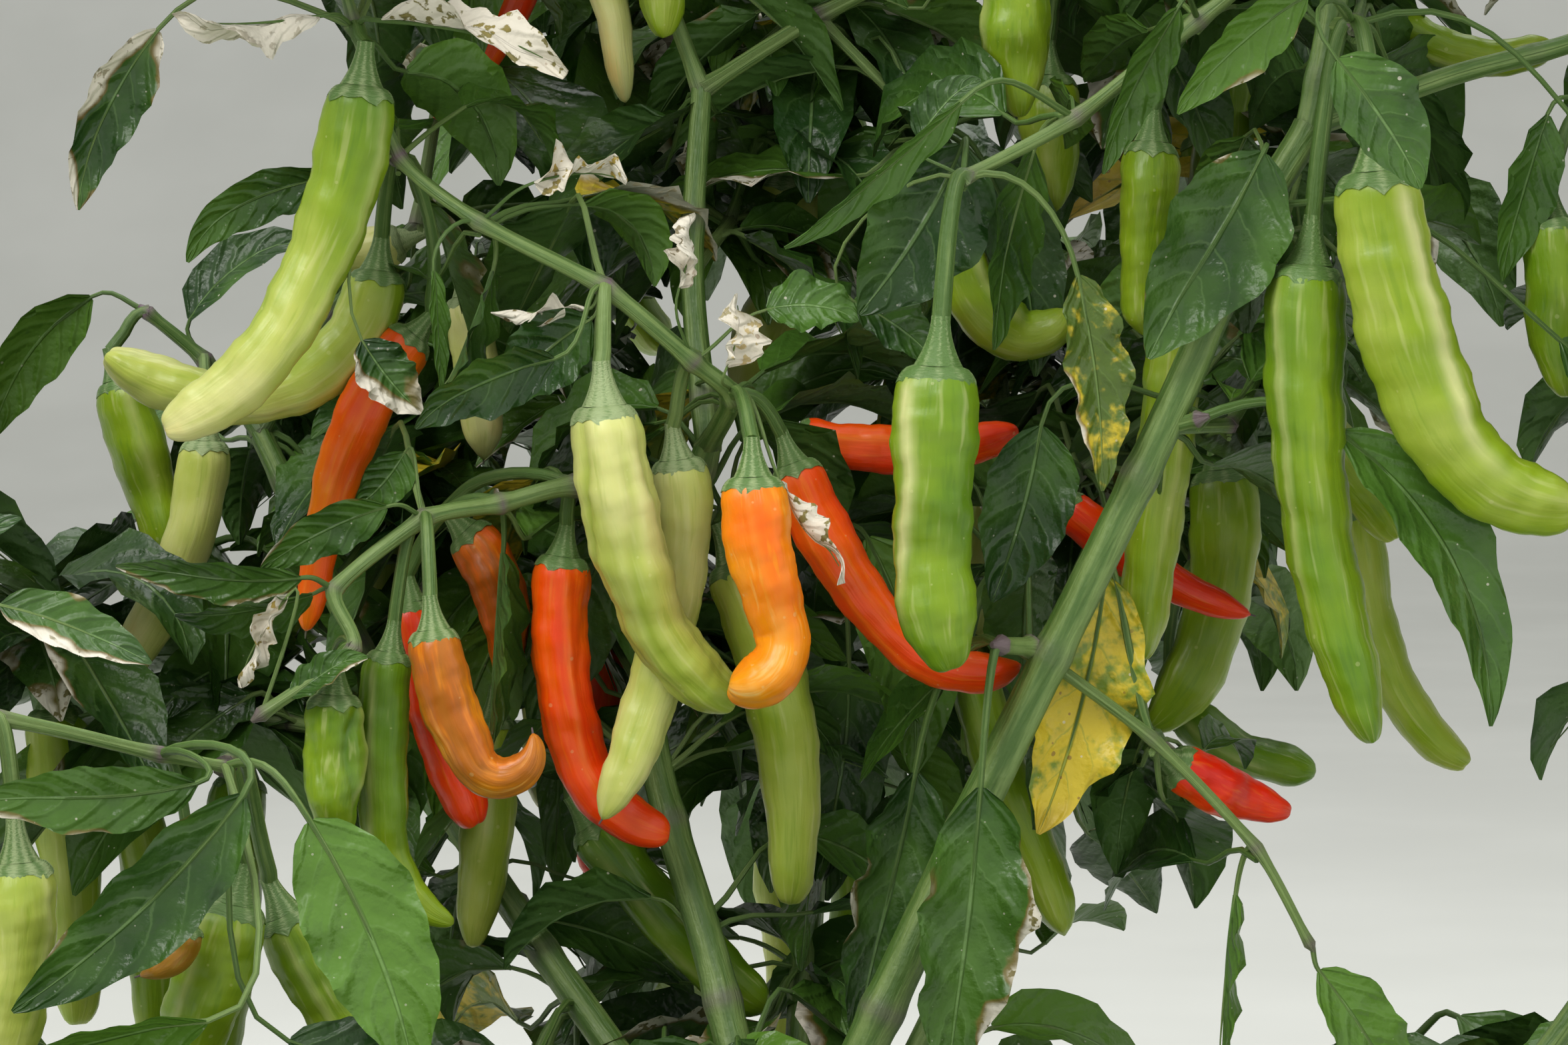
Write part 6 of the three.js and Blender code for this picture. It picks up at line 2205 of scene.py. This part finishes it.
@dataclass
class Crown:
    """The leaves, fruit, twigs and blossom of one part of the crown.

    Attributes:
        zone: The part.
        growths: What grows in it.
        leaves: Makes its leaves.
        fruits: Makes its fruit.
        small: Length under which a blade is small.
        leaf_grid: Rows and columns of a blade: near and far.
        small_grid: Rows and columns of a small blade.
        fruit_grid: Rows and places round a fruit: near and far.
        cup_sides: Places round a cup: near and far.
        lines: Thicker strands, of what the close view shows well.
        fine: The other strands.
    """

    zone: Zone
    growths: Sequence[Growth]
    leaves: LeafMaker = field(default_factory=LeafMaker)
    fruits: FruitMaker = field(default_factory=FruitMaker)
    small: float = 45
    leaf_grid: tuple = ((26, 14), (12, 6))
    small_grid: tuple = (8, 4)
    fruit_grid: tuple = ((72, 44), (30, 20))
    cup_sides: tuple = (30, 20)
    lines: list = field(default_factory=list)
    fine: list = field(default_factory=list)

    def build(self, finishes: dict[str, Material], strands: Strands, blossoms: Blossoms) -> None:
        """Build its pieces.

        Args:
            finishes: Materials by kind.
            strands: Makes the twigs and stalks.
            blossoms: Makes the blossom.
        """
        blades, flesh, cups = MeshBag(), MeshBag(), MeshBag()
        for growth in self.growths:
            for leaf in growth.leaves:
                small = leaf.length < self.small and not leaf.near
                grid = self.small_grid if small else self.leaf_grid[0 if leaf.near else 1]
                self.leaves.blade(blades, leaf, *grid)
                self.petiole(leaf)
            for fruit in growth.fruits:
                if fruit.base in HOOKED:
                    fruit = replace(fruit, length=HOOKED[fruit.base][0], bends=HOOKED[fruit.base][1])
                far = 0 if fruit.near else 1
                self.fruits.flesh(flesh, fruit, *self.fruit_grid[far])
                self.fruits.cup(cups, fruit, self.cup_sides[far])
                self.fruit_stalk(fruit)
            for twig in growth.twigs:
                self.strand(twig.near, *self.run(twig))
            for at, way in growth.blossoms:
                stalk = [add(at, way, -9.5), add(at, way, -4.5), add(at, way, -0.5)]
                self.strand(False, stalk, [0.6, 0.5, 0.7], 0.4)
        name, flowers = self.zone.value, [flower for growth in self.growths for flower in growth.blossoms]
        pieces = [blades.piece(f"leaves_{name}", finishes["leaf"], 50),
                  flesh.piece(f"chillies_{name}", finishes["fruit"]),
                  cups.piece(f"calyxes_{name}", finishes["calyx"], 60)]
        for kind, rows, sides in (("twigs", self.lines, 12), ("fine_twigs", self.fine, 6)):
            if rows:
                pieces.append(strands.piece(f"{kind}_{name}", rows, sides, finishes["stem"]))
        if flowers:
            pieces.append(blossoms.piece(f"blossom_{name}", flowers, finishes["blossom"]))
        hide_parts(*(growth.mass.name for growth in self.growths))
        for piece in pieces:
            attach(piece, "root")

    def strand(self, near: bool, *line: object) -> None:
        """Keep a line of points, radii, tone and, where given, how near a node each point is."""
        (self.lines if near else self.fine).append(line)

    def petiole(self, leaf: Hanging) -> None:
        """Add the stalk of a leaf, which runs on as its midrib."""
        share = leaf.length / 70
        line = Bent(leaf, np.linspace(0.0, 0.85, 7 if leaf.near else 4))
        under = line.middle - line.up * np.linspace(0.0, 0.35, len(line.middle))[:, None]
        path = leaf.stalk(8 if leaf.near else 5)[:-1] + [tuple(p) for p in under]
        thick = np.interp(np.arange(len(path)), (0, len(path) - len(under), len(path) - 1),
                          (0.95 * share + 0.2, 0.62 * share + 0.15, 0.12))
        self.strand(leaf.near, path, thick.tolist(), leaf.seed % 89 / 89)

    def fruit_stalk(self, fruit: Hanging) -> None:
        """Add the stalk of a fruit down to its cup and, on some, the dry thread at its tip."""
        path, tall = fruit.stalk(12 if fruit.near else 8), self.fruits.tall(fruit)
        thick = self.fruits.stalk_of(fruit)
        last = add(fruit.base, way_of(fruit.azimuth, fruit.bends[0]), 0.7 - tall)
        steps = path[:1] + [p for p in path[1:-1] if gap(p, fruit.base) > tall + 1.2] + [last]
        radii = [mix(0.8, 1, i / (len(steps) - 1)) * thick for i in range(len(steps))]
        radii[0] = 1.3 * thick
        near = [0.9, 0.3] + [0.0] * (len(steps) - 2)
        self.strand(fruit.near, steps, radii, self.fruits.tone_of(fruit), near)
        if fruit.seed % 4 == 0:
            tip = Bent(fruit, np.array([1.0]))
            thread = [tuple(tip.middle[0] + tip.way[0] * d + tip.side[0] * 0.08 * d * d)
                      for d in (-1.5, 0.8, 2.6)]
            self.strand(False, thread, [0.5, 0.3, 0.2], 0.5, [1.0, 1.0, 1.0])

    @staticmethod
    def run(twig: Twig) -> tuple:
        """Return the line of a twig, thicker at its nodes.

        Args:
            twig: The twig.

        Returns:
            Points, radii, tone and how near a node each point is.
        """
        curve, parts = Limb("", twig.points, (twig.radii[0], twig.radii[-1]), 1), len(twig.points) - 1
        points, radii, node, spans = [], [], [], 10 if twig.near else 6
        for n in range(parts):
            for k in range(spans if n < parts - 1 else spans + 1):
                u = k / spans
                node.append(math.exp(-(u / 0.1) ** 2) + math.exp(-((1 - u) / 0.1) ** 2))
                straight = mix_points(twig.points[n], twig.points[n + 1], u)
                points.append(mix_points(straight, curve.at((n + u) / parts), 0.5))
                radii.append(mix(twig.radii[n], twig.radii[n + 1], u) * (1 + 0.36 * node[-1]))
        way = unit(sub(points[-1], points[-2]))
        for out, share in ((0.9, 0.8), (1.9, 0.35)):
            points.append(add(twig.points[-1], way, out * twig.radii[-1]))
            radii.append(share * twig.radii[-1])
            node.append(1.0)
        return points, radii, int(abs(twig.points[0][0]) * 7) % 83 / 83, node


@dataclass
class Studio:
    """Camera, soft light and a plain pale floor.

    Attributes:
        lens: Focal length.
        tilt: Degrees that the camera looks down.
        distance: Camera to the middle of the view, in metres.
        middle: Height of the middle of the view, in metres.
        floor: Reach of the floor before it turns up into the backdrop, in metres.
        turn: Radius of that turn.
        tones: Two pale greys of the floor.
        sky: Strength of the light from all round.
        sky_colour: Its colour.
        lights: Name, place, size, power and colour of each light.
    """

    lens: float = 99.5
    tilt: float = 3.0
    distance: float = 1.0
    middle: float = 0.35
    floor: float = 8.0
    turn: float = 3.0
    tones: tuple = ((0.62, 0.63, 0.60), (0.66, 0.67, 0.64))
    sky: float = 0.72
    sky_colour: tuple = (0.97, 0.97, 0.94, 1)
    lights: tuple = (
        ("key_light", (-1.0, -1.3, 2.0), 1.3, 38.0, (1.0, 0.99, 0.96)),
        ("top_light", (0.3, 0.4, 2.4), 1.8, 34.0, (0.99, 1.0, 0.98)),
        ("fill_light", (1.8, -1.2, 0.9), 1.8, 6.0, (0.98, 1.0, 1.0)),
    )

    def build(self) -> None:
        """Build all of it."""
        scene, down = bpy.context.scene, math.radians(self.tilt)
        camera = bpy.data.cameras.new("camera")
        camera.lens, camera.sensor_width, camera.clip_start = self.lens, 36.0, 0.01
        holder = bpy.data.objects.new("camera", camera)
        holder.location = (0, -math.cos(down) * self.distance, self.middle + math.sin(down) * self.distance)
        holder.rotation_euler = (math.radians(90) - down, 0, 0)
        scene.collection.objects.link(holder)
        scene.camera = holder
        for name, place, wide, power, colour in self.lights:
            light = bpy.data.lights.new(name, "AREA")
            light.size, light.energy, light.color = wide, power, colour
            lamp = bpy.data.objects.new(name, light)
            lamp.location = place
            aim = Vector((0, 0, self.middle)) - Vector(place)
            lamp.rotation_euler = aim.to_track_quat("-Z", "Y").to_euler()
            scene.collection.objects.link(lamp)
        world = bpy.data.worlds.new("sky")
        world.use_nodes = True
        light = world.node_tree.nodes["Background"].inputs
        light["Color"].default_value, light["Strength"].default_value = self.sky_colour, self.sky
        scene.world = world
        scene.view_settings.view_transform = "Standard"
        self.ground()

    def ground(self) -> None:
        """Build the floor, which turns up behind into a backdrop."""
        material, g, main = shader("floor_pale")
        g.tree.links.new(g.mix(g.spread(g.noise(3.0), 0.3, 0.7), *self.tones), main.inputs["Base Color"])
        main.inputs["Roughness"].default_value = 0.85
        f, turn, bends = self.floor, self.turn, [k * math.pi / 32 for k in range(1, 17)]
        line = [(-5 * f, 0), (f - turn, 0), *((f - turn + turn * math.sin(a), turn - turn * math.cos(a))
                                              for a in bends), (f, f)]
        mesh = bpy.data.meshes.new("floor")
        mesh.from_pydata([(x, y, z - 2e-4) for y, z in line for x in (-5 * f, 5 * f)], [],
                         [(2 * i, 2 * i + 1, 2 * i + 3, 2 * i + 2) for i in range(len(line) - 1)])
        mesh.shade_smooth()
        mesh.materials.append(material)
        finished(bpy.data.objects.new("floor", mesh))


def main() -> None:
    """Build the plant and its place."""
    logging.basicConfig(level=logging.INFO, format="%(name)s %(message)s")
    Studio().build()
    plant = Plant((TRUNK, *LIMBS), MASSES)
    effects = Effects()
    calyx = StemFinish("calyx_green", 10, (0.11, 0.21, 0.05), (0.34, 0.43, 0.20))
    finishes = {"leaf": LeafFinish().material(effects), "fruit": FruitFinish().material(effects),
                "stem": StemFinish("stem_green").material(effects, False),
                "calyx": calyx.material(effects, False), "blossom": BlossomFinish().material()}
    strands, blossoms = Strands(), Blossoms()
    Wood(LimbMaker(), TRUNK, LIMBS).build(StemFinish("bark_green").material(effects, True))
    for zone in Zone:
        Crown(zone, [growth for growth in plant.growths if growth.mass.zone is zone]).build(
            finishes, strands, blossoms)
    blossoms.clear()
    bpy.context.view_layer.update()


if __name__ == "__main__":
    main()
